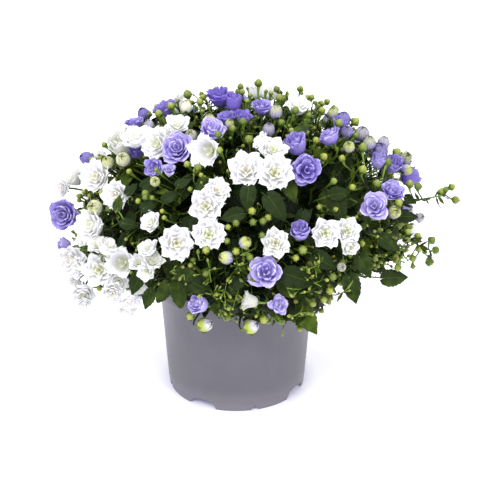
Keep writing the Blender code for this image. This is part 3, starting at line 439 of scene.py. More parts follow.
# %% Grids, blades and baskets
def grid_faces(number, around=False):
    """Quads of a grid of point numbers, closed round its second direction if asked."""
    if around:
        number = np.concatenate([number, number[:, :1]], 1)
    return np.stack([number[:-1, :-1], number[1:, :-1], number[1:, 1:], number[:-1, 1:]], -1).reshape(-1, 4)


def closed_faces(rows, around):
    """Faces of rings of points that close a body: quads round it and one face at each end."""
    number = np.arange(rows * around).reshape(rows, around)
    return [grid_faces(number, True)[:, ::-1], number[:1, ::-1], number[-1:, :]]


def around_axis(r, a, z):
    """Points at the radii r, the angles a and the heights z round the upright axis."""
    r, a, z = np.broadcast_arrays(r, a, z)
    return np.stack([r * np.cos(a), r * np.sin(a), z], -1)


def blade_faces(nu, nv):
    """Quads of a closed blade on a grid of nu by nv cells; the two sheets share their rim."""
    top = np.arange((nu + 1) * (nv + 1)).reshape(nu + 1, nv + 1)
    low = top.copy()
    low[1:-1, 1:-1] = top.size + np.arange((nu - 1) * (nv - 1)).reshape(nu - 1, nv - 1)
    return np.concatenate([grid_faces(top), grid_faces(low)[:, ::-1]])


def both_sheets(value):
    """A value for each point of the grid, followed by its inner points once more for the lower sheet."""
    lead = value.shape[:-2]
    return np.concatenate([value.reshape(*lead, -1), value[..., 1:-1, 1:-1].reshape(*lead, -1)], -1)


def blade_numbers(rows, nv):
    """How far along and across each point of a closed blade lies, from the shares of its rows."""
    shape = (len(rows), nv + 1)
    return {"along": both_sheets(np.broadcast_to(rows[:, None], shape)),
            "across": both_sheets(np.broadcast_to(np.linspace(-1, 1, nv + 1), shape))}


def lower_sheet(nu, nv):
    """0 for the points of a blade's upper sheet, 1 for those of its lower one."""
    return np.repeat((0.0, 1.0), ((nu + 1) * (nv + 1), (nu - 1) * (nv - 1)))


def thicken(top, thick):
    """Closed blade: the grid, then its inner points moved against its normal by the thickness."""
    along = np.gradient(top, axis=-3)
    over = np.gradient(top, axis=-2)
    n = np.cross(along, over)
    n /= np.linalg.norm(n, axis=-1, keepdims=True) + 1e-9
    low = (top - n * thick)[..., 1:-1, 1:-1, :]
    lead = top.shape[:-3]
    return np.concatenate([top.reshape(*lead, -1, 3), low.reshape(*lead, -1, 3)], -2)


class Basket:
    """Gathers grids of points and makes one mesh of them, with numbers for the finishes."""

    NUMBERS = ("along", "across", "tone", "inner", "under")

    def __init__(self):
        self.points, self.faces, self.numbers, self.count = [], [], [], 0

    def add(self, points, faces, finish=0, **numbers):
        """Copies of one shape: points (copies, n, 3), faces (m, corners), numbers for each point."""
        points = np.asarray(points, float)
        if points.ndim == 2:
            points = points[None]
        copies, n = points.shape[:2]
        shift = self.count + np.arange(copies)[:, None, None] * n
        self.points.append(points.reshape(-1, 3))
        for part in faces if isinstance(faces, list) else [faces]:
            self.faces.append(((part[None] + shift).reshape(-1, part.shape[1]), finish))
        rows = [np.broadcast_to(np.asarray(numbers.get(k, 0.0), float), (copies, n)).ravel()
                for k in self.NUMBERS]
        self.numbers.append(np.stack(rows))
        self.count += copies * n

    def piece(self, name, finishes, sharp=60.0):
        """A mesh object in metres, smooth but for edges over the sharp angle."""
        mesh = bpy.data.meshes.new(name)
        points = np.concatenate(self.points) * MM
        size = np.concatenate([np.full(len(f), f.shape[1]) for f, _ in self.faces])
        corner = np.concatenate([f.ravel() for f, _ in self.faces])
        mesh.vertices.add(len(points))
        mesh.vertices.foreach_set("co", points.ravel())
        mesh.loops.add(len(corner))
        mesh.loops.foreach_set("vertex_index", corner.astype(np.int32))
        mesh.polygons.add(len(size))
        mesh.polygons.foreach_set("loop_start", (np.cumsum(size) - size).astype(np.int32))
        slot = np.concatenate([np.full(len(f), k) for f, k in self.faces]).astype(np.int32)
        mesh.polygons.foreach_set("material_index", slot)
        for row, key in zip(np.concatenate(self.numbers, 1), self.NUMBERS):
            if row.any():
                mesh.attributes.new(key, "FLOAT", "POINT").data.foreach_set("value", row.astype(np.float32))
        mesh.update(calc_edges=True)
        mesh.validate()
        mesh.shade_smooth()
        mesh.set_sharp_from_angle(angle=math.radians(sharp))
        for finish in finishes:
            mesh.materials.append(finish)
        obj = bpy.data.objects.new(name, mesh)
        bpy.context.scene.collection.objects.link(obj)
        obj["triangles"] = int((size - 2).sum())
        return obj


def stands_for(obj, slot, *nodes):
    """The piece rides the one body and replaces the nodes; the slot is not used."""
    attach(obj, "root")
    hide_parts(*nodes)
    return obj


def foliage_piece(basket, name, *finishes):
    """A piece that stands, with others, for the foliage solid."""
    piece = stands_for(basket.piece(name, finishes), "foliage", "foliage")
    print(name, piece["triangles"], "triangles")


# %% [markdown]
# ## Finishes as sums
# A finish is a small program of shader nodes. It reads best as arithmetic, so a wire
# stands for one output socket and knows how to add, subtract, multiply and take a power.
# Each sign makes one Math node. Colours meet in Mix nodes, because Math turns them grey.


# %% Wires and finishes
class Wire:
    """An output socket that takes part in sums."""

    def __init__(self, finish, socket):
        self.finish, self.socket = finish, socket

    def sum(self, how, *values):
        """A Math node of one kind on wires or numbers."""
        return self.finish.node("ShaderNodeMath", {"operation": how}, dict(enumerate(values)))

    def __add__(self, other):
        return self.sum("ADD", self, other)

    def __mul__(self, other):
        return self.sum("MULTIPLY", self, other)

    def __sub__(self, other):
        return self.sum("SUBTRACT", self, other)

    def __rsub__(self, other):
        return self.sum("SUBTRACT", other, self)

    def __pow__(self, other):
        return self.sum("POWER", self, other)

    def sine(self):
        """Sine of the value, in radians."""
        return self.sum("SINE", self)

    def size(self):
        """The value without its sign."""
        return self.sum("ABSOLUTE", self)

    def step(self, low, high):
        """0 below low, 1 above high, smooth between."""
        return self.finish.node("ShaderNodeMapRange", {"interpolation_type": "SMOOTHSTEP"},
                                {"Value": self, "From Min": low, "From Max": high})

    __radd__ = __add__
    __rmul__ = __mul__


class Finish:
    """A material and the one method that makes its nodes."""

    def __init__(self, name):
        self.mat = bpy.data.materials.new(name)
        self.mat.use_nodes = True
        self.tree = self.mat.node_tree
        self.shader = self.tree.nodes["Principled BSDF"]

    def node(self, kind, settings=None, sockets=None, output=0):
        """A node of a kind, its settings first, then the values or wires of its sockets."""
        made = self.tree.nodes.new(kind)
        for key, value in (settings or {}).items():
            setattr(made, key, value)
        for key, value in (sockets or {}).items():
            if isinstance(value, Wire):
                self.tree.links.new(value.socket, made.inputs[key])
            else:
                made.inputs[key].default_value = value
        return Wire(self, made.outputs[output])

    def number(self, name):
        """A number that the mesh keeps for each point."""
        return self.node("ShaderNodeAttribute", {"attribute_name": name}, output="Fac")

    def place(self):
        """The point's place on the object, in metres."""
        return self.node("ShaderNodeTexCoord", output="Object")

    def noise(self, size, detail=3.0, rough=0.5):
        """Soft cloudy noise, whose size is the length of one cloud in millimetres."""
        return self.node("ShaderNodeTexNoise", None, {
            "Vector": self.place(), "Scale": 1.0 / (size * MM), "Detail": detail, "Roughness": rough})

    def mix(self, factor, a, b):
        """Two colours mixed: the first at a factor of 0, the second at 1."""
        return self.node("ShaderNodeMix", {"data_type": "RGBA"}, {0: factor, 6: a, 7: b}, output=2)

    def bump(self, height, depth, strength):
        """A normal bent by a height of 0 to 1 that stands for a depth in millimetres."""
        return self.node("ShaderNodeBump", None,
                         {"Strength": strength, "Distance": depth * MM, "Height": height}, output="Normal")

    def set(self, **sockets):
        """Values or wires of the main shader's sockets, with spaces written as underscores."""
        for key, value in sockets.items():
            socket = self.shader.inputs[key.replace("_", " ")]
            if isinstance(value, Wire):
                self.tree.links.new(value.socket, socket)
            else:
                socket.default_value = value

    def let_through(self, colour, share):
        """Some light passes through a thin blade: a translucent shader mixed in by a share."""
        thin = self.tree.nodes.new("ShaderNodeBsdfTranslucent")
        thin.inputs["Color"].default_value = colour
        mixed = self.tree.nodes.new("ShaderNodeMixShader")
        mixed.inputs[0].default_value = share
        self.tree.links.new(self.shader.outputs[0], mixed.inputs[1])
        self.tree.links.new(thin.outputs[0], mixed.inputs[2])
        self.tree.links.new(mixed.outputs[0], self.tree.nodes["Material Output"].inputs["Surface"])


def rgb(red, green, blue):
    """Colour of a surface from its screen values of 0 to 255, by the sRGB curve."""
    c = np.array([red, green, blue]) / 255.0
    c = np.where(c <= 0.04045, c / 12.92, ((c + 0.055) / 1.055) ** 2.4)
    return (*(float(x) for x in c), 1.0)


# %% [markdown]
# ## Petals
# A double bellflower is bells nested in bells. Each bell is cut into pointed lobes that
# curl outward, and each next one is smaller, more upright and turned by half a lobe, so
# the face reads as a rosette. A bell could be one turned sheet with a wavy rim, but
# then its lobes could not lie over each other. So each lobe is a blade of its own: it
# runs along a cubic curve of radius and height and spreads round the axis by an angle
# that narrows to the tip.


# %% One ring of petals
def cubic(t):
    """The four weights of a cubic curve: (1-t)^3, 3t(1-t)^2, 3t^2(1-t) and t^3."""
    return (1 - t) ** 3, 3 * t * (1 - t) ** 2, 3 * t * t * (1 - t), t ** 3


def rows_to_tip(count):
    """Shares from 0 at the foot to 1 at the tip, closer together near the tip: 1 - (1 - t)^1.6."""
    return 1 - (1 - np.linspace(0, 1, count + 1)) ** 1.6


def petal_ring(radius, tall, count, line, spread, join, steps, turn, draw, looks):
    """Upper sheets of one ring of petals, as (count, rows, columns, 3).

    Along u the radius and the height follow a cubic curve drawn by four given points.
    Across v the angle is turn + v times half the ring's share, full up to the join and
    then narrowed as (1 - s^a)^b to the end, where the middle stands out as a small point.
    The edges ripple by a sine, curl up by v squared, and one edge lies outside the next
    petal's by a small share of v. Seven random numbers make each petal a little different.
    """
    (blunt, narrow, jut), ripple, curl, loose = looks
    nu, nv = steps
    u = rows_to_tip(nu)[None, :, None]
    v = np.linspace(-1, 1, nv + 1)[None, None, :]
    k = np.arange(count)[:, None, None]
    odd = draw.normal(size=(7, count, 1, 1)).clip(-1.8, 1.8)
    r = sum(w * p[0] for w, p in zip(cubic(u), line)) * radius
    z = sum(w * p[1] for w, p in zip(cubic(u), line)) * tall
    s = np.clip((u - join) / (1 - join), 0, 1)
    lobe = (1 - s ** blunt) ** narrow
    half = spread * math.pi / count * (0.035 + 0.965 * lobe) * (1 + 0.05 * odd[6])
    theta = turn + 2 * math.pi * k / count + 1.3 * loose * odd[2] + half * v + 1.4 * loose * odd[3] * s * s
    r = r * (1 + loose * odd[0] * u * u) * (1 + 0.045 * v * (0.25 + u))
    r = r + radius * jut * np.exp(-(v / 0.26) ** 2) * s ** 3
    rim = v * v * s
    z = z + tall * (loose * 0.8 * odd[1] * u * u + curl * rim * (1 + 0.5 * odd[4]))
    z = z + tall * ripple * np.sin(math.pi * (2.4 * v + 1.2 * u) + 3 * odd[5]) * (0.25 + v * v) * s
    z = z - tall * 0.05 * (1 - np.abs(v)) ** 2 * s
    r = r + radius * ripple * 1.1 * np.sin(math.pi * 3.1 * v + 2 * odd[4]) * s
    return around_axis(r, theta, z)


# %% The forms of a bloom
# each ring: petals, four points of (radius, height), spread, join, cells along and across
OPEN = [
    (6, [(.14, .00), (.72, .04), (.64, .70), (1.00, .76)], 1.42, .46, (7, 8)),
    (6, [(.12, .03), (.66, .09), (.60, .77), (.97, .82)], 1.42, .46, (7, 8)),
    (6, [(.10, .10), (.50, .15), (.44, .83), (.72, .87)], 1.40, .44, (6, 6)),
    (5, [(.06, .22), (.30, .28), (.26, .86), (.46, .91)], 1.40, .42, (5, 6)),
    (4, [(.03, .34), (.16, .40), (.12, .80), (.24, .88)], 1.30, .34, (4, 4)),
]
ROSE = [
    (5, [(.14, .00), (.70, .04), (.58, .62), (1.03, .74)], 1.50, .42, (7, 8)),
    (5, [(.12, .03), (.62, .10), (.56, .72), (.92, .84)], 1.50, .40, (7, 8)),
    (5, [(.10, .10), (.46, .15), (.42, .80), (.68, .94)], 1.44, .36, (6, 6)),
    (4, [(.07, .20), (.32, .26), (.27, .82), (.43, .97)], 1.40, .34, (5, 6)),
    (3, [(.04, .30), (.15, .36), (.16, .82), (.17, 1.0)], 1.40, .30, (4, 4)),
]
LOOSE = [
    (5, [(.14, .00), (.70, .05), (.64, .62), (1.04, .68)], 1.46, .46, (8, 8)),
    (5, [(.12, .04), (.62, .11), (.56, .74), (.88, .78)], 1.44, .44, (8, 8)),
    (5, [(.08, .12), (.40, .18), (.37, .80), (.58, .90)], 1.36, .40, (6, 6)),
    (4, [(.04, .25), (.16, .30), (.12, .88), (.23, 1.02)], 1.24, .34, (4, 4)),
]
SMALL = [
    (6, [(.13, .00), (.66, .05), (.60, .68), (1.04, .80)], 1.34, .44, (7, 6)),
    (5, [(.10, .08), (.54, .14), (.50, .78), (.84, .89)], 1.40, .42, (6, 6)),
    (4, [(.07, .20), (.34, .26), (.28, .84), (.56, .94)], 1.36, .38, (5, 4)),
    (3, [(.03, .35), (.16, .40), (.08, .80), (.27, .91)], 1.26, .32, (4, 4)),
]
BELL = [
    (5, [(.17, .00), (.84, .06), (.52, .76), (1.05, .97)], 1.30, .58, (9, 8)),
    (5, [(.14, .04), (.72, .10), (.50, .74), (.96, .97)], 1.30, .54, (8, 8)),
    (3, [(.06, .10), (.22, .20), (.16, .46), (.26, .56)], 1.00, .30, (4, 4)),
]
HALF_OPEN = [
    (5, [(.20, .00), (1.06, .02), (.76, .62), (1.04, .86)], 1.36, .50, (8, 8)),
    (5, [(.17, .06), (.88, .12), (.66, .72), (.86, .97)], 1.38, .46, (8, 8)),
    (5, [(.12, .15), (.66, .20), (.50, .78), (.64, 1.02)], 1.36, .42, (6, 6)),
    (4, [(.08, .25), (.46, .30), (.34, .78), (.44, 1.02)], 1.34, .38, (5, 4)),
    (3, [(.04, .35), (.26, .40), (.18, .76), (.26, .99)], 1.26, .32, (4, 4)),
]
CLOSING = [
    (5, [(.20, .00), (1.20, .02), (1.22, .74), (.46, .98)], 1.50, .45, (6, 6)),
    (4, [(.16, .05), (.96, .10), (.98, .84), (.26, 1.05)], 1.50, .45, (5, 6)),
    (3, [(.10, .20), (.60, .30), (.62, .92), (.10, 1.04)], 1.40, .45, (4, 4)),
]
# how petals look: the lobe's (bluntness, narrowing, point), ripple, curl of the edges, looseness
CRISP = ((1.7, 0.80, 0.125), 0.022, 0.04, 0.055)
SOFT = ((2.2, 0.64, 0.070), 0.025, 0.05, 0.060)
ROUND = ((3.0, 0.52, 0.025), 0.040, 0.07, 0.095)
RUFFLED = ((2.5, 0.56, 0.060), 0.050, 0.10, 0.125)
FRILLED = ((2.2, 0.60, 0.110), 0.040, 0.05, 0.070)
WOUND = ((2.4, 0.55, 0.0), 0.020, 0.02, 0.035)
for form, rings in (("open", OPEN), ("rose", ROSE), ("loose", LOOSE), ("small", SMALL), ("bell", BELL)):
    print(form, "bloom:", sum(ring[0] for ring in rings), "petals in", len(rings), "rings")

# %% Tones, and the petals of a bloom
# rows of violet blooms wound like a rose; the others are loose
ROSES = (4, 7, 8, 11)
# blooms as frilled as the half open ones and those that face up
FRILLS = (("W", 32), ("V", 111))
# blooms deeper in colour than the rest, or paler: -1 as pale as an edge, 1 as deep as a foot, 2 dull grey.
# For the white blooms this is painted light and shade: deeper and duller for those in shade, paler for
# far ones seen from behind. For the violet blooms it is partly their own colour and partly painted light
# and shade.
TONES_LIGHT_AND_SHADE = {
    "W": {
        7: 1.4, 16: 1.2, 19: 1.0, 20: 0.8, 9: 1.3, 18: 0.5, 28: 0.8, 30: 0.6, 31: 0.8, 32: 1.8,
        0: 0.0, 1: 0.0, 107: -0.7, 207: -0.7, 110: -0.6, 210: -0.6,
    },
    "V": {
        0: 1.0, 1: 1.0, 2: 0.5, 3: 0.9, 4: -0.1, 5: 0.55, 6: 0.45, 7: 0.05, 8: 0.4, 9: 0.6, 10: 0.7,
        11: 0.3, 12: 0.45, 13: 0.3, 14: 0.0, 15: 0.4, 16: -0.35, 17: -0.2, 18: -0.7, 19: 0.6,
        303: -0.7, 314: 1.5, 111: 1.0, 211: 0.9,
    },
}
PETAL_THICK = 0.030


def petals_of(item, basket):
    """All petals of one bloom into the basket, in the bloom's own place."""
    (letter, number), base, axis, radius, form, turn = item
    violet = letter == "V"
    draw = np.random.default_rng(1000 + number + (500 if violet else 0))
    wound = violet and number in ROSES
    rings = {"o": ROSE if wound else LOOSE if violet else OPEN, "s": SMALL, "b": BELL, "h": HALF_OPEN}[form]
    frilled = form == "h" or axis[2] > 0.8 or (letter, number) in FRILLS
    plain = RUFFLED if violet else SOFT if form == "s" else CRISP
    looks = FRILLED if frilled else ROUND if wound else plain
    full = radius * (1.0 if violet or form in "hb" else 1.06)
    tall = DEPTH[form] * 2 * radius
    place = basis(axis)
    # the listed tones carry painted light and shade; the other blooms get a random tone
    tone = TONES_LIGHT_AND_SHADE[letter].get(number, draw.random() * (0.8 if violet else 0.35))
    for level, (count, line, spread, join, (nu, nv)) in enumerate(rings):
        if 100 <= number < 300 or number >= 400:
            nu, nv = max(4, nu - 1), max(4, nv - 2)
        top = petal_ring(full, tall, count, line, spread, join, (nu, nv),
                         turn + level * math.pi / count + 3.0 * looks[3] * draw.normal(), draw, looks)
        basket.add(thicken(top, PETAL_THICK * radius) @ place.T + base, blade_faces(nu, nv), tone=tone,
                   inner=level / (len(rings) - 1), under=lower_sheet(nu, nv),
                   **blade_numbers(rows_to_tip(nu), nv))


# %% [markdown]
# ## Petal finish
# White petals are thin and matt, with a cool shade in their folds, a breath of green at
# the foot and a beige throat. Violet petals are deepest in their throat and pale along
# their edges. Fine veins run from foot to tip. A share of the light passes through, so
# a petal glows where it is lit from behind. Light is passed on many times between such
# pale petals, more often than a renderer follows it, so a faint painted glow, the lift,
# stands for the rest.


# %% White and violet petals
def petal_finish(name, tip, middle, foot, edge, heart, other, glow, share, lift, depth):
    """Colours from foot to tip, paler at the edges, with veins and a heart of one of two tints, a tone that
    is partly painted light and shade, and a faint painted glow.
    """
    f = Finish(name)
    along, across = f.number("along"), f.number("across")
    inner, tone = f.number("inner"), f.number("tone")
    cloud = f.noise(3.0, 2.0)
    body = f.mix((along + (cloud - 0.5) * 0.35).step(0.10, 0.55), foot, middle)
    body = f.mix((along + (cloud - 0.5) * 0.25).step(0.50, 0.95), body, tip)
    rim = (across.size() ** 5.0 + along ** 9.0) * 0.8
    body = f.mix(rim.step(0.25, 1.0) * 0.6, body, edge)
    vein = ((across * 17.0 + (cloud - 0.5) * 2.0).sine().size() ** 7.0) * (1 - along * 0.60)
    body = f.mix(vein * depth * 0.36, body, foot)
    heart = f.mix(f.noise(42.0, 1.0).step(0.47, 0.58), heart, other)
    body = f.mix(inner.step(0.50, 0.95) * (1 - along.step(0.35, 0.95) * 0.6), body, heart)
    # the tone deepens a bloom towards its foot colour and pales it towards its edge colour: at random, and
    # for the listed blooms as painted shade and painted light
    body = f.mix(tone * depth, body, foot)
    body = f.mix(tone * -0.9, body, edge)
    # a tone over 1 mixes in a dull grey: a painted shade for blooms that sit in shade
    body = f.mix((tone - 1.0) * 0.6, body, rgb(166, 166, 148))
    folds = vein * 0.5 + f.noise(1.6, 2.0) * 0.5
    # the petal gives off its own colour at the lift: a painted glow
    f.set(Base_Color=body, Roughness=0.62, Normal=f.bump(folds, depth * 0.36, 0.7),
          Specular_IOR_Level=0.16, Emission_Color=body, Emission_Strength=lift)
    f.let_through(glow, share)
    return f.mat


white_petal = petal_finish(
    "white petal", tip=rgb(248, 248, 250), middle=rgb(245, 245, 249), foot=rgb(226, 228, 212),
    edge=rgb(252, 252, 253), heart=rgb(244, 239, 224), other=rgb(236, 239, 202),
    glow=rgb(250, 250, 252), share=0.42, lift=0.09, depth=0.30)
violet_petal = petal_finish(
    "violet petal", tip=rgb(212, 201, 243), middle=rgb(193, 178, 236), foot=rgb(104, 78, 194),
    edge=rgb(232, 226, 251), heart=rgb(238, 234, 250), other=rgb(212, 202, 246),
    glow=rgb(190, 174, 246), share=0.32, lift=0.04, depth=0.75)
print("each petal finish has", len(white_petal.node_tree.nodes), "nodes")

# %% Blooms in place of their solids
PETAL = {"W": white_petal, "V": violet_petal}
made = []


def bloom_piece(items, letter, name, node):
    """One piece of all petals of the given blooms, in place of a node."""
    basket = Basket()
    for item in items:
        petals_of(item, basket)
    made.append(stands_for(basket.piece(name, [PETAL[letter]]), WORD[letter] + "_petal", node))


by_key = {item[0]: item for item in blooms}
for name, keys in bloom_nodes.items():
    bloom_piece([by_key[key] for key in keys], keys[0][0], name + "_petals", name)

# the blooms deep between the others belong to the foliage solid
for letter in "WV":
    items = [item for item in between if item[0][0] == letter]
    bloom_piece(items, letter, WORD[letter] + "_blooms_between", "foliage")
blooms = blooms + between
print("petal triangles", sum(piece["triangles"] for piece in made))

# %% [markdown]
# ## Stalks
# Thin stalks carry everything, and many cross in the gaps between the leaves. A curve
# with a round bevel would do, but thousands of curve points are slow to join, so a
# stalk is a ring of points carried along a path, all stalks of one kind at once.

# %% Rods along many paths
# a slanted direction that sets how the rings lie, as stalks seldom run along it
ROD_HINT = (0.31, 0.22, 0.93)


def heart_point(p, level):
    """The point towards the dome's middle where the heart of the plant reaches the given level."""
    size = dome_level(p, HEART_HALF)
    return DOME + (p - DOME) * (level / np.maximum(size, 1e-6))[..., None]


def curves(p0, p1, p2, p3, cells):
    """Cubic curves from p0 to p3, drawn towards p1 and p2, as (count, cells + 1, 3)."""
    t = np.linspace(0, 1, cells + 1)[None, :, None]
    return sum(w * p[:, None] for w, p in zip(cubic(t), (p0, p1, p2, p3)))


def heart_paths(start, end, way, leave, arrive, past, cells):
    """Curves that leave the heart outward and come to their ends along the given ways.

    The shares leave and arrive of the distance tell how far they run straight, and each
    ends the length past inside what it carries.
    """
    reach = np.linalg.norm(end - start, axis=1, keepdims=True)
    return curves(start, start + unit(start - DOME) * reach * leave,
                  end - way * reach * arrive, end + way * past, cells)


def add_rods(basket, paths, radii, sides, tone, finish):
    """Rings round many paths: at each path point a circle square to the path, its ends closed."""
    count, rows = paths.shape[:2]
    frame_at = basis(np.gradient(paths, axis=1), ROD_HINT)
    a = np.arange(sides) * 2 * math.pi / sides
    circle = (np.cos(a)[:, None] * frame_at[..., None, :, 0]
              + np.sin(a)[:, None] * frame_at[..., None, :, 1])
    points = paths[:, :, None] + circle * np.broadcast_to(radii, (count, rows))[..., None, None]
    basket.add(points.reshape(count, -1, 3), closed_faces(rows, sides), finish,
               along=np.repeat(np.linspace(0, 1, rows), sides), tone=np.reshape(tone, (-1, 1)))


def frames(ahead, face):
    """Columns x along the blade, y across it and z out of its face."""
    x = unit(ahead)
    z = unit(face - x * (face * x).sum(-1, keepdims=True))
    return np.stack([x, np.cross(z, x), z], -1)


def carried(local, turn, base):
    """Local points of many copies, each turned by its frame and moved to its base."""
    return np.einsum("nij,nkj->nki", turn, local) + base[:, None]


# %% [markdown]
# ## Leaves
# The leaves are heart shaped, with a toothed edge, a folded midrib and a bent tip. The
# large ones in front are rows of the table, and the rest are drawn by seed over the
# dome, kept clear of the blooms. One function makes them all from their lengths.

# %% Leaf blades
LEAF_THICK = 0.30
DROOP = 0.16
# leaves whose foot is lower than this are painted a little brighter: a painted light on the low leaves
PAINTED_LIGHT_BELOW = 116.0


def leaf_tops(length, width, fold, droop, twist, cells, heart, teeth, draw, full=0.9):
    """Upper sheets of many leaves, foot at the origin and tip along +X.

    The half width follows sin(pi u^heart)^full: a low heart gives a heart shape and a high
    one a lance, and a low full gives a blunt tip. Saw teeth lengthen it at the edge. The
    sheet folds up by |y|, droops by u squared, rolls along its length and waves at its edge.
    """
    nu, nv = cells
    u = np.linspace(0, 1, nu + 1)[None, :, None]
    v = np.linspace(-1, 1, nv + 1)[None, None, :]
    length, width, fold, droop, twist, full = (
        np.reshape(x, (-1, 1, 1)) for x in (length, width, fold, droop, twist, full))
    w = np.sin(math.pi * np.clip(u, 0.001, 0.995) ** heart) ** full
    if teeth:
        saw = (u * teeth) % 1.0
        w = w * (1 + 0.16 * (saw - 0.6) * np.abs(v) ** 3)
    y = v * width / 2 * (w + 0.04)
    x = length * (u - 0.13 * np.abs(v) ** 1.6 * np.exp(-(u / 0.22) ** 2) * (heart < 0.7))
    phase = draw.uniform(0, 6.3, length.shape)
    wave = 0.035 * length * np.sin(9 * u + phase) * v * np.abs(v)
    z = fold * np.abs(y) - droop * length * u * u + wave + twist * u * y
    dome = -0.10 * width * (v * v) * np.sin(math.pi * u)
    return np.stack(np.broadcast_arrays(x, y, z + dome), -1)


def add_leaves(basket, base, ahead, face, length, width, cells, heart, teeth, draw,
               fold=0.22, foot=0.8, petiole=0.55, tone=None, full=0.9):
    """Leaves at their places, each with a thin stalk from the heart of the plant."""
    n = len(base)
    tops = leaf_tops(length, width, fold * draw.uniform(0.4, 1.5, n), DROOP * draw.uniform(0.2, 1.9, n),
                     draw.uniform(-0.5, 0.5, n), cells, heart, teeth, draw, full)
    if tone is None:
        # a random tone, and a painted light on the low leaves
        tone = draw.random(n) ** 1.5 + 0.25 * (base[:, 2] < PAINTED_LIGHT_BELOW)
    tone = np.clip(tone, 0, 1).reshape(n, 1)
    turn = frames(ahead, face)
    nu, nv = cells
    basket.add(carried(thicken(tops, LEAF_THICK), turn, base), blade_faces(nu, nv), 0, tone=tone,
               under=lower_sheet(nu, nv), **blade_numbers(np.linspace(0, 1, nu + 1), nv))
    paths = heart_paths(heart_point(base, foot), base, turn[..., 0],
                        leave=0.35, arrive=0.35, past=1.2, cells=3)
    add_rods(basket, paths, petiole, sides=4 if nv > 2 else 3, tone=tone, finish=1)


# %% Keeping clear of the blooms and the pot
bloom_middle = np.array([base + axis * DEPTH[form] * radius * 1.1
                         for _, base, axis, radius, form, _ in blooms])
bloom_reach = np.array([item[3] for item in blooms])


def clear_of_blooms(p, margin):
    """True for points that stay the margin away from the ball round each bloom."""
    gap = np.linalg.norm(p[:, None] - bloom_middle[None], axis=2) - bloom_reach[None]
    return gap.min(1) > margin


def blade_clear(base, ahead, length, margin=0.8):
    """True for blades whose foot, middle and tip all stay the margin away from the blooms."""
    return np.all([clear_of_blooms(base + ahead * length[:, None] * t, margin) for t in (0.0, 0.5, 1.0)], 0)


def clear_of_pot(p, margin):
    """True for points outside the pot's rim or above it."""
    return (np.hypot(p[:, 0], p[:, 1]) > RIM_R + margin) | (p[:, 2] > POT_H + margin)


def paths_clear(paths, from_blooms, from_pot):
    """True for the paths whose every point stays the margins away from the blooms and the pot."""
    p = paths.reshape(-1, 3)
    return (clear_of_blooms(p, from_blooms) & clear_of_pot(p, from_pot)).reshape(len(paths), -1).all(1)


def spread_out(points, gap, most):
    """Numbers of the points that lie the gap or more from each one kept before."""
    kept = []
    for i, p in enumerate(points):
        if not kept or np.min(np.linalg.norm(points[kept] - p, axis=1)) >= gap:
            kept.append(i)
            if len(kept) == most:
                break
    return np.array(kept)


def picked(which, *rows):
    """The same members of several arrays, by their numbers or by a true for each one kept."""
    return [row[which] for row in rows]


# %% Places and directions drawn by seed
def over_dome(count, low, levels, draw, top):
    """Points over the dome from the share low of its lower half up, with their outward normals.

    The leaves leave the crown to buds and stalks, so the top is flattened by a share.
    """
    z = draw.uniform(low, 1.0, count)
    a = draw.uniform(0, 2 * math.pi, count)
    flat = np.sqrt(np.maximum(0, 1 - z * z))
    half = half_sizes(z)
    across = np.where(np.cos(a) > 0, 0.90, 0.95) * HALF[0]
    d = np.stack([across * flat * np.cos(a), HALF[1] * flat * np.sin(a), half[:, 2] * z], 1)
    n = unit(d / half ** 2)
    d[:, 2] *= np.where(z > 0.5, 1 - (z - 0.5) * top, 1.0)
    return DOME + d * draw.uniform(*levels, count)[:, None], n


def open_places(draw, count, low, levels, margins, bottom, top=0.16, chance=None):
    """Points over the dome with room round them, and their normals.

    The margins are those to the blooms, the pot and the hem below. No point is lower than
    the bottom, and where a chance is given, it tells the share of points kept at a place.
    """
    p, n = over_dome(count, low, levels, draw, top)
    from_blooms, from_pot, from_hem = margins
    ok = clear_of_blooms(p, from_blooms) & clear_of_pot(p, from_pot) & (p[:, 2] > bottom)
    ok &= above_hem(p - (0, 0, from_hem))
    if chance is not None:
        ok &= draw.random(len(p)) < chance(p)
    return picked(ok, p, n)


def loose_ways(draw, n, out, up, loose):
    """Directions made of a share of the normal, a share upward and a random share."""
    return n * out + (0, 0, up) + draw.uniform(-loose, loose, n.shape)


def round_the_rim(count, shift, draw):
    """Directions away from the upright axis, each moved by up to a share of their step."""
    a = 2 * math.pi * (np.arange(count) + draw.uniform(-shift, shift, count)) / count
    return around_axis(1.0, a, 0.0)


def outward(p):
    """Unit direction square to the dome at points of its upper half."""
    return unit((p - DOME) / np.array(HALF[:3]) ** 2)


# %% Leaf finish
def leaf_finish(name, deep, bright, pale, vein_colour, glow, share, rough):
    """Green that varies from leaf to leaf, partly at random and partly as painted light and shade, paler
    veins, a pale underside and a soft gloss.
    """
    f = Finish(name)
    along, across, tone, under = (f.number(k) for k in ("along", "across", "tone", "under"))
    cloud = f.noise(6.0, 3.0)
    fine = f.noise(0.9, 2.0)
    # deep to bright green by the tone: at random, and for the front and low leaves partly painted light and
    # shade
    body = f.mix((tone * 0.75 + (cloud - 0.5) * 1.1).step(0.20, 0.95), deep, bright)
    side = ((along * 9.0 - across.size() * 3.0) * math.pi).sine().size()
    vein = (1 - side).step(0.80, 0.98) * across.size().step(0.02, 0.2)
    rib = (1 - across.size()).step(0.90, 0.985)
    body = f.mix((vein * 0.45 + rib * 0.6).step(0.0, 1.0), body, vein_colour)
    body = f.mix(under * 0.55, body, pale)
    height = 1 - (vein * 0.7 + rib) * 0.6 + fine * 0.35 + cloud * 2.0
    f.set(Base_Color=body, Roughness=(fine - 0.5) * 0.25 + rough, Normal=f.bump(height, 0.7, 0.9),
          Specular_IOR_Level=0.12)
    f.let_through(glow, share)
    return f.mat


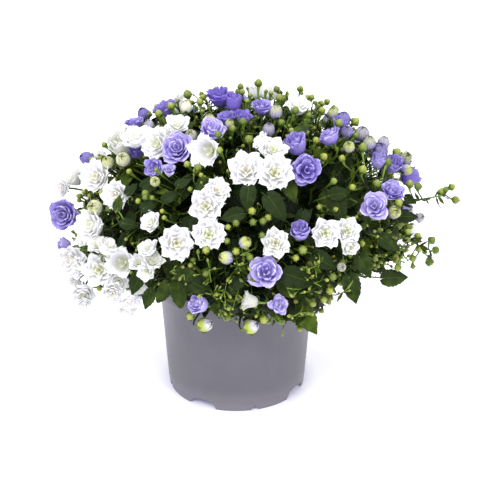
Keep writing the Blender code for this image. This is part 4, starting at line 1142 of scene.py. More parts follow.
def stalk_finish(name, low, high, rise=(0.35, 1.1)):
    """A thin stalk, darker towards its foot, a painted shade deep in the plant, with fine lengthwise grain.
    """
    f = Finish(name)
    along, tone = f.number("along"), f.number("tone")
    grain = f.noise(0.7, 2.0)
    # darker towards the foot: a painted shade
    body = f.mix((along * 0.8 + tone * 0.4 + (grain - 0.5) * 0.3).step(*rise), low, high)
    f.set(Base_Color=body, Roughness=0.5, Normal=f.bump(grain, 0.08, 0.5), Specular_IOR_Level=0.25)
    return f.mat


leaf_green = leaf_finish(
    "leaf", deep=rgb(31, 45, 15), bright=rgb(78, 99, 18), pale=rgb(80, 102, 34),
    vein_colour=rgb(64, 86, 30), glow=rgb(100, 128, 6), share=0.12, rough=0.42)
bract_green = leaf_finish(
    "small leaf", deep=rgb(26, 39, 12), bright=rgb(84, 104, 21), pale=rgb(86, 108, 32),
    vein_colour=rgb(80, 102, 28), glow=rgb(108, 136, 6), share=0.17, rough=0.42)
# the inner leaves get darker greens than the outer ones: a painted shade for the depth they lie in
painted_shade_green = leaf_finish(
    "inner leaf in painted shade", deep=rgb(11, 19, 6), bright=rgb(42, 58, 13), pale=rgb(52, 68, 26),
    vein_colour=rgb(38, 54, 21), glow=rgb(64, 88, 4), share=0.07, rough=0.50)
stalk_green = stalk_finish("stalk", rgb(17, 29, 9), rgb(110, 138, 50), rise=(0.45, 1.12))
print("each leaf finish has", len(leaf_green.node_tree.nodes), "nodes")

# %% Large leaves in front, from the table
# millimetres behind the dome, tried in turn; one leaf stands well in front of it
SINKS = (2, 4, 0, 6, -2, 9, 12, 15, 18, 22)
SINKS_OF = {(118, 202): (-9,)}
# the first leaves of the table are blunt
BLUNT_LEAVES = 2


def front_leaf(across, down, tip_across, tip_down, long):
    """Foot, direction, face and length of a leaf of the table, where blooms and pot leave it room."""
    for sink in SINKS_OF.get((across, down), SINKS):
        middle = on_dome(across, down, sink)
        length = width_at(middle, long) * 0.90
        ahead = RIGHT * (tip_across - across) - ABOVE * (tip_down - down)
        ahead /= np.linalg.norm(ahead)
        out = (middle - DOME) / np.array(HALF[:3]) ** 2
        face = -sight(across, down) * 0.8 + out / np.linalg.norm(out) * 0.45 + np.array([0, 0, 0.35])
        ahead = ahead - face * (ahead @ face) / (face @ face) * 0.8
        ahead /= np.linalg.norm(ahead)
        along_it = middle + ahead * length * np.array([-0.4, 0.0, 0.4])[:, None]
        if clear_of_blooms(along_it, 1.0).all() and clear_of_pot(along_it, 2.5).all():
            break
    return middle - ahead * length * 0.5, ahead, face, length


draw = np.random.default_rng(31)
base, ahead, face, length = (np.array(k) for k in zip(*(front_leaf(*row[:5]) for row in LEAVES)))
front_middles = base + ahead * length[:, None] * 0.5
print("large leaves in front", len(base), "from", round(min(length)), "to", round(max(length)), "mm long")
basket = Basket()
add_leaves(basket, base, ahead, face, length, length * 0.68, cells=(21, 8), heart=0.60, teeth=7, draw=draw,
           fold=0.34, tone=[row[5] for row in LEAVES],
           full=np.where(np.arange(len(LEAVES)) < BLUNT_LEAVES, 0.55, 0.9))


# %% Leaves over the whole dome
def grow_leaves(basket, draw, p, ahead, face, lengths, back, gap, most, widths, cells, heart, teeth,
                taken=np.zeros((0, 3)), **more):
    """Leaves through points that have room, the gap apart: the share back of each lies behind its point."""
    length = draw.uniform(*lengths, len(p))
    ok = blade_clear(p - ahead * length[:, None] * back, ahead, length)
    p, ahead, face, length = picked(ok, p, ahead, face, length)
    keep = spread_out(np.concatenate([taken, p]), gap, most + len(taken))
    p, ahead, face, length = picked(keep[keep >= len(taken)] - len(taken), p, ahead, face, length)
    add_leaves(basket, p - ahead * length[:, None] * back, ahead, face, length,
               length * draw.uniform(*widths, len(p)), cells, heart, teeth, draw, **more)
    print("leaves from", lengths[0], "to", lengths[1], "mm long:", len(p))


p, n = open_places(draw, 6000, low=-0.55, levels=(0.82, 0.95), margins=(5.0, 6.0, 9), bottom=88.0)
away = unit(np.stack([p[:, 0] - DOME[0], p[:, 1], 0 * p[:, 2]], 1))
ahead = loose_ways(draw, away, out=1, up=-0.75, loose=0.8)
ahead = unit(ahead - n * (ahead * n).sum(1, keepdims=True) * 0.75)
face = loose_ways(draw, n, out=1, up=0.45, loose=0.25)
grow_leaves(basket, draw, p, ahead, face, lengths=(14, 25), back=0.5, gap=15.6, most=172,
            widths=(0.55, 0.78), cells=(12, 6), heart=0.62, teeth=6, taken=front_middles, fold=0.30)

# %% Leaves that hang round the rim
RIM_LEAVES = 40
away = round_the_rim(RIM_LEAVES, 0.4, draw)
base = away * draw.uniform(70, 88, (RIM_LEAVES, 1))
base[:, 2] = draw.uniform(110, 122, RIM_LEAVES)
ahead = away * draw.uniform(0.6, 1.0, (RIM_LEAVES, 1)) + draw.uniform(-0.35, 0.35, away.shape)
ahead[:, 2] = draw.uniform(-0.75, -0.25, RIM_LEAVES)
face = away + np.array([0, 0, 0.8])
length = draw.uniform(13, 22, RIM_LEAVES)
ok = blade_clear(base, unit(ahead), length, 1.0) & above_hem(base + unit(ahead) * length[:, None] * 0.9)
base, ahead, face, length = picked(ok, base, ahead, face, length)
width = length * draw.uniform(0.6, 0.78, len(base))
add_leaves(basket, base, ahead, face, length, width, cells=(12, 6), heart=0.60, teeth=6, draw=draw)
foliage_piece(basket, "leaves", leaf_green, stalk_green)

# %% Inner leaves, which fill the depth
basket = Basket()
p, n = open_places(draw, 5200, low=-0.72, levels=(0.72, 0.86), margins=(2.0, 4.0, 8), bottom=92.0)
ahead = unit(loose_ways(draw, n, out=0.35, up=-0.3, loose=0.9))
face = loose_ways(draw, n, out=1, up=0.35, loose=0.5)
grow_leaves(basket, draw, p, ahead, face, lengths=(13, 25), back=0.4, gap=9.2, most=520,
            widths=(0.45, 0.72), cells=(5, 4), heart=0.62, teeth=0, foot=0.7)
foliage_piece(basket, "inner_leaves", painted_shade_green, stalk_green)

# %% Small lance shaped leaves between the stalks
basket = Basket()
p, n = open_places(draw, 9000, low=-0.60, levels=(0.80, 0.96), margins=(2.5, 5.0, 5), bottom=90.0)
ahead = unit(loose_ways(draw, n, out=0.55, up=0.15, loose=0.9))
face = loose_ways(draw, n, out=0.5, up=0.6, loose=0.6)
grow_leaves(basket, draw, p, ahead, face, lengths=(6, 15), back=0.5, gap=6.4, most=1080,
            widths=(0.20, 0.42), cells=(5, 2), heart=0.80, teeth=0, fold=0.35, foot=0.86, petiole=0.35)
foliage_piece(basket, "small_leaves", bract_green, stalk_green)

# %% [markdown]
# ## Buds
# A closed bud is a plump five ribbed drop on a thin stalk, held by five narrow sepals.
# Buds sit in loose clusters of three to five at the end of a side shoot. Half open buds
# are larger, with their petals wound round each other, and show their colour at the top.


# %% The shape of a bud
def bud_radius(t):
    """Radius of a bud one wide at the share t of its height: sin(pi t^0.85)^0.75 / 2."""
    return 0.5 * np.sin(math.pi * t ** 0.85) ** 0.75


def bud_shape(sides, rows, rib=0.10, wind=0.25):
    """Body of a bud one wide, swollen by five ribs that wind upward: points, faces, heights, ribs.

    The radius at the share t of the height is that of bud_radius, times one plus the rib
    times cos 5(a - wind t) times sin(pi t), so the ribs fade out at both ends.
    """
    t = np.linspace(0.03, 0.985, rows)[:, None]
    a = (np.arange(sides) * 2 * math.pi / sides)[None, :]
    ribs = np.cos(5 * (a - wind * t))
    r = bud_radius(t) * (1 + rib * ribs * np.sin(math.pi * t))
    body = around_axis(r, a, 1.18 * t - 0.05).reshape(-1, 3)
    return body, closed_faces(rows, sides), np.repeat(t.ravel(), sides), ribs.ravel()


def sepal_shape(reach, wide, out, cells=(2, 2)):
    """Five narrow blades that hug a bud one wide: they follow its side and their tips bend outward.

    The radius is the bud's own and a little more, plus out times u cubed. The angle is that
    of the blade plus v times the width over the radius, and the width narrows as 1 - u^2.
    """
    nu, nv = cells
    u = np.linspace(0, 1, nu + 1)[None, :, None]
    v = np.linspace(-1, 1, nv + 1)[None, None, :]
    k = np.arange(5)[:, None, None]
    t = 0.03 + reach * u
    r = bud_radius(t) * 1.06 + out * u ** 3 + 0.03
    a = 2 * math.pi * k / 5 + math.pi / 5 + v * wide * (1 - u ** 2 + 0.03) / np.maximum(r, 0.2)
    return thicken(around_axis(r, a, 1.18 * t - 0.07)[:, :, ::-1], 0.035)


def add_buds(basket, foot, axis, wide, draw, sides=10, rows=6, tall=1.0):
    """Buds with their sepals, at their feet along their axes, each wide across."""
    spin = draw.uniform(0, 6.3, len(foot))
    roll = np.zeros((len(foot), 3, 3))
    roll[:, 0, 0] = roll[:, 1, 1] = np.cos(spin)
    roll[:, 1, 0] = np.sin(spin)
    roll[:, 0, 1] = -roll[:, 1, 0]
    roll[:, 2, 2] = 1.0
    turn = basis(axis) @ roll
    size = np.stack([wide, wide, wide * tall], 1)[:, None]
    tone = draw.random((len(foot), 1))
    body, faces, along, ribs = bud_shape(sides, rows)
    basket.add(carried(body[None] * size, turn, foot), faces, 0, along=along, across=ribs, tone=tone)
    for blade in sepal_shape(reach=0.62, wide=0.17, out=0.16):
        basket.add(carried(blade[None] * size, turn, foot), blade_faces(2, 2), 1, tone=tone,
                   along=blade_numbers(np.linspace(0, 1, 3), 2)["along"])


def add_tiny_buds(basket, foot, axis, draw, low, high, tall, tone):
    """Buds too small for ribs or sepals, between low and high in width."""
    body, faces, along, _ = bud_shape(6, 5, rib=0.0, wind=0.2)
    size = draw.uniform(low, high, (len(foot), 1, 1)) * np.array([1.0, 1.0, tall])
    basket.add(carried(body[None] * size, basis(axis), foot), faces, 0, along=along,
               tone=draw.random((len(foot), 1)) * tone)


# %% Bud finishes
def bud_finish():
    """Yellow-green, paler on the ribs and at the tip, darker and greener at the foot, duller on some buds.
    The paler tip, darker foot and darker grooves are partly the bud's own colour and partly a painted
    highlight and painted shade.
    """
    f = Finish("closed bud")
    along, tone, groove = f.number("along"), f.number("tone"), f.number("across")
    cloud = f.noise(1.5, 2.0)
    # darker at the foot, paler towards the tip: partly the bud's own colour, partly painted shade below and
    # a painted highlight on top
    body = f.mix((along + (cloud - 0.5) * 0.4).step(0.0, 0.6), rgb(70, 86, 28), rgb(127, 138, 46))
    body = f.mix(along.step(0.50, 1.0) * 0.7, body, rgb(180, 182, 92))
    body = f.mix(tone.step(0.20, 1.0) * 0.85, body, rgb(94, 112, 52))
    # darker between the ribs: partly their own colour, partly a painted shade in the grooves
    body = f.mix((groove * -1.0).step(0.1, 1.0) * 0.45, body, rgb(84, 108, 30))
    f.set(Base_Color=body, Roughness=0.42, Normal=f.bump(cloud, 0.10, 0.6), Specular_IOR_Level=0.4)
    f.let_through(rgb(190, 214, 70), 0.15)
    return f.mat


def wound_finish():
    """Petals of a bud that starts to open: violet, greyish or cream with pale stripes, and a green tip.

    The hue runs from violet at 0 to cream at 1, and past it to a pale violet with a green foot.
    """
    f = Finish("half open bud")
    along, across, tip, hue = (f.number(k) for k in ("along", "across", "tone", "inner"))
    cloud = f.noise(1.2, 2.0)
    side = f.mix(hue.step(0.0, 0.5), rgb(100, 85, 172), rgb(156, 147, 194))
    side = f.mix(hue.step(0.5, 1.0), side, rgb(236, 235, 214))
    stripe = ((across * 8.0 + (cloud - 0.5)).sine().size() ** 3.0) * (hue.step(0.0, 0.3) * 0.5 + 0.5)
    body = f.mix(stripe * 0.5, side, rgb(234, 232, 240))
    body = f.mix((along + (cloud - 0.5) * 0.2).step(0.02, 0.22), rgb(120, 142, 62), body)
    body = f.mix((along + (cloud - 0.5) * 0.5).step(0.45, 0.92) * tip, body, rgb(192, 200, 96))
    body = f.mix((hue - 1.0) * 1.6, body, rgb(212, 210, 228))
    body = f.mix((1 - along).step(0.02, 0.50) * ((hue - 1.0) * 2.0), body, rgb(176, 188, 76))
    edge = f.mix(hue, rgb(92, 76, 168), rgb(140, 148, 84))
    body = f.mix(across.size().step(0.80, 1.0) * 0.45, body, edge)
    f.set(Base_Color=body, Roughness=0.5, Normal=f.bump(cloud + stripe * 0.5, 0.12, 0.6))
    f.let_through(rgb(196, 186, 236), 0.20)
    return f.mat


bud_green = bud_finish()
wound_petal = wound_finish()
sepal_green = stalk_finish("sepal", rgb(70, 100, 36), rgb(128, 152, 62))
print("bud finishes:", bud_green.name, "and", wound_petal.name)

# %% Sprays and the buds of the table
# a bud nearer than this to a spray grows from it, and the others from the heart
SPRAY_REACH = 34.0
draw = np.random.default_rng(61)
lines = []
for row in SPRAYS:
    points = np.array([on_dome(*spot) for spot in row])
    lines.append(np.concatenate([heart_point(points[:1], 0.85), points]))
steps = np.linspace(0, 0.95, 12)[:, None]
along_sprays = np.concatenate(
    [(line[:-1, None] + (line[1:, None] - line[:-1, None]) * steps).reshape(-1, 3) for line in lines])
# a bud that would stand in a bloom comes forward in steps of 3 mm
tips, widths = [], []
for across, down, wide in BUDS:
    for rise in (0, 3, 6, 9, 12, 15):
        tip = on_dome(across, down, -rise)
        if clear_of_blooms(tip[None], 1.5)[0]:
            tips.append(tip)
            widths.append(width_at(tip, wide) * 0.98)
            break
tips, widths = np.array(tips), np.array(widths)
near = along_sprays[np.argmin(np.linalg.norm(along_sprays[None] - tips[:, None], axis=2), 1)]
close = np.linalg.norm(near - tips, axis=1) < SPRAY_REACH
start = np.where(close[:, None], near, heart_point(tips, 0.88))
axis = unit(unit(tips - start) + outward(tips) * 0.5 + draw.uniform(-0.3, 0.3, tips.shape) + (0, 0, 0.25))
feet = tips - axis * widths[:, None] * 0.55
buds = Basket()
add_buds(buds, feet, axis, widths, draw, sides=15, rows=8)
paths = heart_paths(start, feet, axis, leave=0.4, arrive=0.35, past=0.4, cells=6)
radii = [0.75, 0.68, 0.6, 0.55, 0.55, 0.75, 1.4]
add_rods(buds, paths, radii, sides=6, tone=draw.random(len(feet)), finish=2)
for line in lines:
    add_rods(buds, line[None], [0.95, 0.95, 0.85, 0.8, 0.6], sides=7, tone=0.5, finish=2)
print("buds of the table", len(feet), "of", len(BUDS))

# %% Clusters of small buds over the whole dome
CLUSTERS, CLUSTER_GAP = 132, 15.5
# radii of a bud's stalk, from its shoot to the bud
BUD_STALK = [0.5, 0.42, 0.55, 0.95]


def clear_of_tips(p, gap):
    """True for points farther than the gap from every bud of the table."""
    return np.linalg.norm(p[:, None] - tips[None], axis=2).min(1) > gap


def cluster_chance(p):
    """Share of clusters kept: more to the right, low down and at the back, few in the dark hollows."""
    share = 0.28 + 0.55 * (p[:, 0] > 20) + 0.2 * (p[:, 2] < 125) + 0.2 * (p[:, 1] > 0)
    return share * np.where(in_hollow(p), 0.12, 1.0)


p, n = open_places(draw, 5000, low=-0.50, levels=(0.93, 1.0), margins=(3.5, 8.0, 6), bottom=93.0,
                   top=0.0, chance=cluster_chance)
p, n = picked(clear_of_tips(p, 13.0), p, n)
p, n = picked(spread_out(p, CLUSTER_GAP, CLUSTERS), p, n)
cluster, cluster_out = p - n * 9.0, n
paths = heart_paths(heart_point(p, 0.80), cluster, n, leave=0.4, arrive=0.3, past=0.0, cells=5)
add_rods(buds, paths, np.linspace(0.85, 0.6, 6), sides=6, tone=draw.random(len(p)), finish=2)
who = np.repeat(np.arange(len(p)), draw.integers(3, 6, len(p)))
lean = unit(loose_ways(draw, n[who], out=0.9, up=0, loose=0.95) + (0, 0, 0.2))
wide = draw.uniform(2.4, 5.5, len(who))
feet = cluster[who] + lean * draw.uniform(5.0, 11.0, (len(who), 1))
ok = clear_of_blooms(feet + lean * wide[:, None] * 0.5, 1.5)
ok &= clear_of_pot(feet, 5.0) & clear_of_tips(feet, 7.0)
who, lean, wide, feet = picked(ok, who, lean, wide, feet)
add_buds(buds, feet, lean, wide, draw)
paths = curves(cluster[who], cluster[who] + n[who] * 2.0, feet - lean * 2.5, feet + lean * 0.3, 3)
add_rods(buds, paths, BUD_STALK, sides=4, tone=draw.random(len(who)), finish=2)
foliage_piece(buds, "closed_buds", bud_green, sepal_green, stalk_green)

# %% Tiny buds on threads, which fill the gaps between the leaves
THREADS, THREAD_GAP = 900, 6.5


def thread_chance(p):
    """Share of threads kept: more in front, low down and to the right, few in the dark hollows."""
    share = 0.35 + 0.4 * (p[:, 1] < 20) + 0.35 * (p[:, 2] < 140) + 0.2 * (p[:, 0] > 20)
    return share * np.where(in_hollow(p), 0.08, 1.0)


draw = np.random.default_rng(113)
p, n = open_places(draw, 9000, low=-0.60, levels=(0.84, 0.99), margins=(1.6, 5.0, 4), bottom=90.0,
                   top=0.10, chance=thread_chance)
p, n = picked(clear_of_tips(p, 6.0), p, n)
p, n = picked(spread_out(p, THREAD_GAP, THREADS), p, n)
root = heart_point(p + draw.uniform(-22, 22, p.shape) + (0, 0, 8), 0.86)
reach = np.linalg.norm(p - root, axis=1, keepdims=True)
lean = unit(loose_ways(draw, n, out=0.7, up=0, loose=0.8))
paths = curves(root, root + n * reach * 0.55 + draw.uniform(-3, 3, p.shape), p - lean * reach * 0.35, p, 5)
p, lean, paths = picked(paths_clear(paths, from_blooms=0.3, from_pot=2.0), p, lean, paths)
buds = Basket()
add_rods(buds, paths, [0.5, 0.45, 0.4, 0.36, 0.40, 0.62], sides=3, tone=draw.random(len(p)), finish=2)
add_tiny_buds(buds, p, lean, draw, low=1.5, high=3.2, tall=1.25, tone=1.0)
print("tiny buds", len(p))

# %% Shoots that hang over the rim
SHOOTS = 46
UP = np.array([0, 0, 1.0])
draw = np.random.default_rng(83)
away = round_the_rim(SHOOTS, 0.45, draw)
tip = away * draw.uniform(76, 92, (len(away), 1))
tip[:, 2] = draw.uniform(90, 108, len(away))
ok = clear_of_blooms(tip, 3.0) & clear_of_pot(tip, 6.0) & above_hem(tip - (0, 0, 4))
away, tip = picked(ok, away, tip)
each = (len(away), 1)
root = away * 48.0 + UP * draw.uniform(110, 120, each)
over = away * draw.uniform(64, 78, each) + UP * draw.uniform(112, 122, each)
paths = curves(root, root + away * 8 + (0, 0, 5), over, tip, 8)
add_rods(buds, paths, np.linspace(0.8, 0.5, 9), sides=6, tone=draw.random(len(away)), finish=2)
shoot_places, shoot_away = paths[:, 1:].reshape(-1, 3), np.repeat(away, 8, 0)
who = np.repeat(np.arange(len(away)), 4)
start = paths[who, np.tile([8, 6, 5, 3], len(away))]
lean = unit(loose_ways(draw, away[who], out=0.6, up=0, loose=0.9) + (0, 0, -0.1))
feet = start + lean * draw.uniform(2.5, 7.0, (len(who), 1))
wide = draw.uniform(2.8, 6.2, len(who))
ok = clear_of_blooms(feet + lean * wide[:, None] * 0.5, 1.0)
ok &= clear_of_pot(feet + lean * wide[:, None], 3.0) & clear_of_pot(feet, 3.0)
feet, lean, wide, start = picked(ok, feet, lean, wide, start)
add_buds(buds, feet, lean, wide, draw, tall=1.2)
paths = curves(start, start + (feet - start) * 0.4, feet - lean * 1.5, feet + lean * 0.3, 3)
add_rods(buds, paths, BUD_STALK, sides=5, tone=draw.random(len(feet)), finish=2)
print("shoots over the rim", len(away), "with", len(feet), "buds")

# %% Sprigs that lie over the lower leaves
SPRIG_TRIES, SPRIGS, SPRIG_GAP = 600, 32, 9.5
draw = np.random.default_rng(71)
each = (SPRIG_TRIES, 1)
spots = zip(draw.uniform(188, 335, SPRIG_TRIES), draw.uniform(240, 318, SPRIG_TRIES))
foot = np.array([on_dome(across, down, 3) for across, down in spots])
side = RIGHT * draw.uniform(-1, 1, each) - ABOVE * draw.uniform(-0.5, 1.0, each)
out = outward(foot)
end = foot + unit(side - out * (side * out).sum(1, keepdims=True)) * draw.uniform(14, 26, each) + out * 2
crest = foot * 0.5 + end * 0.5 + out * draw.uniform(1, 4, each)
paths = curves(heart_point(foot, 0.88), foot, crest, end, 6)
ok = paths_clear(paths, from_blooms=1.0, from_pot=2.5) & above_hem(end)
# none crosses a bloom or a half open bud as the eye sees them
seen = np.stack(in_frame(paths), -1).reshape(SPRIG_TRIES, -1, 1, 2)
discs = np.array([(row[0], row[1], row[2] / 2 + 1.5) for row in WHITE + VIOLET + HALVES])
ok &= (np.linalg.norm(seen - discs[:, :2], axis=3) > discs[:, 2]).all(axis=(1, 2))
foot, paths, out = picked(ok, foot, paths, out)
paths, out = picked(spread_out(foot, SPRIG_GAP, SPRIGS), paths, out)
tone = draw.uniform(0.6, 1.0, len(paths))
add_rods(buds, paths, np.linspace(0.56, 0.38, 7), sides=4, tone=tone, finish=2)
sprig_places, sprig_out = paths[:, 3:6].reshape(-1, 3), np.repeat(out, 3, 0)
who = np.repeat(np.arange(len(paths)), 2)
start = paths[who, np.tile([6, 4], len(paths))]
lean = unit(loose_ways(draw, out[who], out=0.5, up=0, loose=0.9))
feet = start + lean * draw.uniform(2.5, 6.0, (len(who), 1))
print("sprigs in front", len(paths))
paths = curves(start, start + out[who], feet - lean, feet + lean * 0.3, 3)
tone = draw.uniform(0.6, 1.0, len(who))
add_rods(buds, paths, [0.40, 0.36, 0.42, 0.7], sides=3, tone=tone, finish=2)
add_tiny_buds(buds, feet, lean, draw, low=1.6, high=3.3, tall=1.4, tone=0.8)
foliage_piece(buds, "small_buds", bud_green, sepal_green, stalk_green)

# %% Small leaves on the sprays, the shoots and under each cluster
SPRAY_LEAVES = 64
draw = np.random.default_rng(97)
who = np.repeat(np.arange(len(cluster)), 3)
feet = [cluster[who] - cluster_out[who] * draw.uniform(0, 5, (len(who), 1))]
ways = [loose_ways(draw, cluster_out[who], out=0.5, up=0, loose=1)]
feet += [along_sprays[draw.integers(0, len(along_sprays), SPRAY_LEAVES)], shoot_places, sprig_places]
ways += [draw.uniform(-1, 1, (SPRAY_LEAVES, 3)) + (0.8, 0, 0.2),
         loose_ways(draw, shoot_away, out=1, up=0, loose=1),
         loose_ways(draw, sprig_out, out=0.6, up=0, loose=1)]
feet, ahead = np.concatenate(feet), unit(np.concatenate(ways))
length = draw.uniform(5, 11, len(feet))
ok = blade_clear(feet, ahead, length) & clear_of_pot(feet + ahead * 8, 2.0)
feet, ahead, length = picked(ok, feet, ahead, length)
count = len(feet)
face = unit(draw.uniform(-0.6, 0.6, feet.shape) + (0, -0.3, 0.8))
tops = leaf_tops(length, width=length * draw.uniform(0.2, 0.4, count), fold=0.3 * draw.random(count),
                 droop=0.3 * draw.uniform(-1, 1, count), twist=draw.uniform(-0.5, 0.5, count),
                 cells=(4, 2), heart=0.8, teeth=0, draw=draw)
basket = Basket()
basket.add(carried(thicken(tops, 0.25), frames(ahead, face), feet), blade_faces(4, 2),
           tone=draw.random((count, 1)), **blade_numbers(np.linspace(0, 1, 5), 2))
foliage_piece(basket, "shoot_leaves", bract_green)

# %% Half open buds
seats = [seat((*row[:5], "c", 0)) for row in HALVES]
basket = Basket()
draw = np.random.default_rng(17)
for (foot, way, radius, form), (*_, hue, tip) in zip(seats, HALVES):
    place = basis(way)
    for count, line, spread, join, (nu, nv) in CLOSING:
        top = petal_ring(radius, DEPTH[form] * 2 * radius, count, line, spread, join, (nu, nv),
                         draw.uniform(0, 6.3), draw, WOUND)
        basket.add(thicken(top, 0.05 * radius) @ place.T + foot, blade_faces(nu, nv), tone=tip, inner=hue,
                   **blade_numbers(rows_to_tip(nu), nv))
    sepals = sepal_shape(reach=0.42, wide=0.20, out=0.10, cells=(3, 2)) * 2 * radius @ place.T + foot
    basket.add(sepals, blade_faces(3, 2), 1, tone=draw.random((5, 1)))
base, axis = (np.array([s[k] for s in seats]) for k in (0, 1))
paths = heart_paths(heart_point(base, 0.86), base, axis, leave=0.4, arrive=0.35, past=0.5, cells=6)
add_rods(basket, paths, np.linspace(0.8, 0.75, 7), sides=6, tone=draw.random(len(base)), finish=2)
foliage_piece(basket, "half_open_buds", wound_petal, sepal_green, stalk_green)

# %% [markdown]
# ## Calyxes, stalks and the heart of the plant
# Under each bloom sit a small green cup and five narrow sepals, on a stalk that comes
# out of the leaves. Behind all leaves is the heart of crossing stems: it is one lumpy
# body there, painted nearly black as a painted shade, because nobody sees a single
# stem in its shade.

# %% A calyx and a stalk for each bloom
CUP_ROWS, CUP_SIDES, SEPAL_ROWS = 6, 10, 5
# radius and height of the four points that draw a sepal, as shares of the bloom's radius and height
SEPAL_LINE = [(0.14, -0.03), (0.44, -0.07), (0.74, -0.02), (0.80, 0.22)]


def calyx(radius, tall, turn):
    """A cup and five sepals: the cup is a turned profile, each sepal runs out under the bell and up.

    The cup's radius grows as the sine of a quarter turn to the power 0.8, a little more on
    five ribs. A sepal follows a cubic curve of radius and height and narrows as 1 - u^1.6.
    """
    t = np.linspace(0, 1, CUP_ROWS)[:, None]
    a = np.arange(CUP_SIDES)[None, :] * math.pi / 5
    r = radius * (0.06 + 0.17 * np.sin(math.pi * 0.5 * t) ** 0.8 * (1 + 0.08 * np.cos(5 * a)))
    cup = around_axis(r, a, (-0.16 + 0.17 * t) * tall).reshape(-1, 3)
    u = np.linspace(0, 1, SEPAL_ROWS + 1)[None, :, None]
    v = np.linspace(-1, 1, 3)[None, None, :]
    k = np.arange(5)[:, None, None]
    r = sum(w * q[0] for w, q in zip(cubic(u), SEPAL_LINE)) * radius
    z = sum(w * q[1] for w, q in zip(cubic(u), SEPAL_LINE)) * tall
    a = turn + 2 * math.pi * k / 5 + v * 0.085 * radius * (1 - u ** 1.6 + 0.04) / r
    return cup, around_axis(r, a, z)


draw = np.random.default_rng(7)
basket = Basket()
sepal_rows = blade_numbers(np.linspace(0, 1, SEPAL_ROWS + 1), 2)["along"]
for _, foot, way, radius, form, turn in blooms:
    cup, sepals = calyx(radius, DEPTH[form] * 2 * radius, turn + 0.5)
    place = basis(way)
    basket.add(cup @ place.T + foot, closed_faces(CUP_ROWS, CUP_SIDES), along=0.8, tone=draw.random())
    basket.add(thicken(sepals, 0.3) @ place.T + foot, blade_faces(SEPAL_ROWS, 2), tone=draw.random(),
               along=sepal_rows)
axis = np.array([item[2] for item in blooms])
size = np.array([radius * DEPTH[form] * 2 for _, _, _, radius, form, _ in blooms])[:, None]
base = np.array([item[1] for item in blooms])
end = base - axis * size * 0.15
paths = heart_paths(heart_point(base, 0.84), end, axis, leave=0.35, arrive=0.4, past=0.6, cells=8)
add_rods(basket, paths, np.linspace(0.95, 0.85, 9), sides=7, tone=draw.random(len(base)), finish=1)
foliage_piece(basket, "calyxes", sepal_green, stalk_green)

# %% The dark heart
WAVES = 9


def ripples(p, scale, seed):
    """Smooth lumps for points: a sum of sines along seeded directions."""
    draw = np.random.default_rng(seed)
    ways = unit(draw.normal(size=(WAVES, 3)))
    rate = scale * draw.uniform(0.6, 1.6, WAVES)
    phase = draw.uniform(0, 6.3, WAVES)
    return np.sin(p @ (ways * rate[:, None]).T + phase).sum(-1) / WAVES ** 0.5


HEART_ROWS, HEART_SIDES = 40, 96
t = np.linspace(0.02, 0.98, HEART_ROWS)[:, None] * math.pi
a = np.arange(HEART_SIDES)[None, :] * 2 * math.pi / HEART_SIDES
ball = around_axis(np.sin(t), a, -np.cos(t))
lump = 0.93 + 0.045 * ripples(ball, 9.0, 3) + 0.03 * ripples(ball, 26.0, 4) + 0.02 * ripples(ball, 60.0, 5)
skin = ball * lump[..., None] * half_sizes(ball[..., 2], HEART_HALF)
basket = Basket()
basket.add((DOME + skin).reshape(-1, 3), closed_faces(HEART_ROWS, HEART_SIDES),
           along=np.repeat(lump.mean(1), HEART_SIDES))

# %% The main stems, from the soil into the heart
STEMS = 10
# how far below the top of the soil they begin
STEM_DEPTH = 13.0
GOLDEN_TURN = 0.381966
shift = random.Random(11)
feet = []
for i in range(STEMS):
    a = 2 * math.pi * (i * GOLDEN_TURN + 0.1)
    r = 10.0 + 30.0 * math.sqrt((i + 0.5) / STEMS)
    feet.append(np.array([r * math.cos(a), r * math.sin(a), 0.0]) + shift.uniform(-1.5, 1.5))
feet = np.array(feet)
low = feet + (0, 0, SOIL_TOP - STEM_DEPTH)
top = around_axis(34, np.arctan2(feet[:, 1], feet[:, 0]), 118.0)
paths = curves(low, low + (0, 0, 14.0), top - (0, 0, 12.0), top, 8)
add_rods(basket, paths, np.linspace(2.0, 1.8, 9), sides=9, tone=0.3, finish=1)


def shade_finish():
    """Deep green that is nearly black, a painted shade, mottled like leaves in shade."""
    f = Finish("shaded heart")
    cloud, fine = f.noise(7.0, 4.0, 0.6), f.noise(2.0, 2.0)
    body = f.mix(cloud.step(0.35, 0.68), rgb(10, 18, 8), rgb(34, 54, 20))
    f.set(Base_Color=body, Roughness=0.75, Normal=f.bump(cloud + fine * 0.5, 3.0, 1.0),
          Specular_IOR_Level=0.1)
    return f.mat


foliage_piece(basket, "plant_heart", shade_finish(), stalk_green)

# %% [markdown]
# ## Soil
# Dark peat fills the pot to a centimetre below its rim. A noise bump alone looks like
# painted ground where the light comes in low, so the body has real relief, and some
# hundreds of crumbs and white grains of perlite lie on it.

# %% Peat
WALL = 0.9


def wall_inner(z):
    """Radius of the pot's inner wall at a height: a straight taper."""
    return BASE_R - WALL + (WALL_TOP_R - BASE_R) * z / RIM_LOW


PEAT_ROWS, PEAT_SIDES = 24, 96
edge = wall_inner(SOIL_TOP) - 0.6
a = np.arange(PEAT_SIDES)[None, :] * 2 * math.pi / PEAT_SIDES
r = np.linspace(0.4, edge, PEAT_ROWS)[::-1, None]
flat = around_axis(r, a, 0.0) / 10
relief = 0.9 * ripples(flat, 1.3, 13) + 0.5 * ripples(flat, 4.0, 14) + 0.25 * ripples(flat, 11.0, 15)
top = around_axis(r, a, SOIL_TOP - 0.6 + relief * np.clip((edge - r) / 3, 0.25, 1))
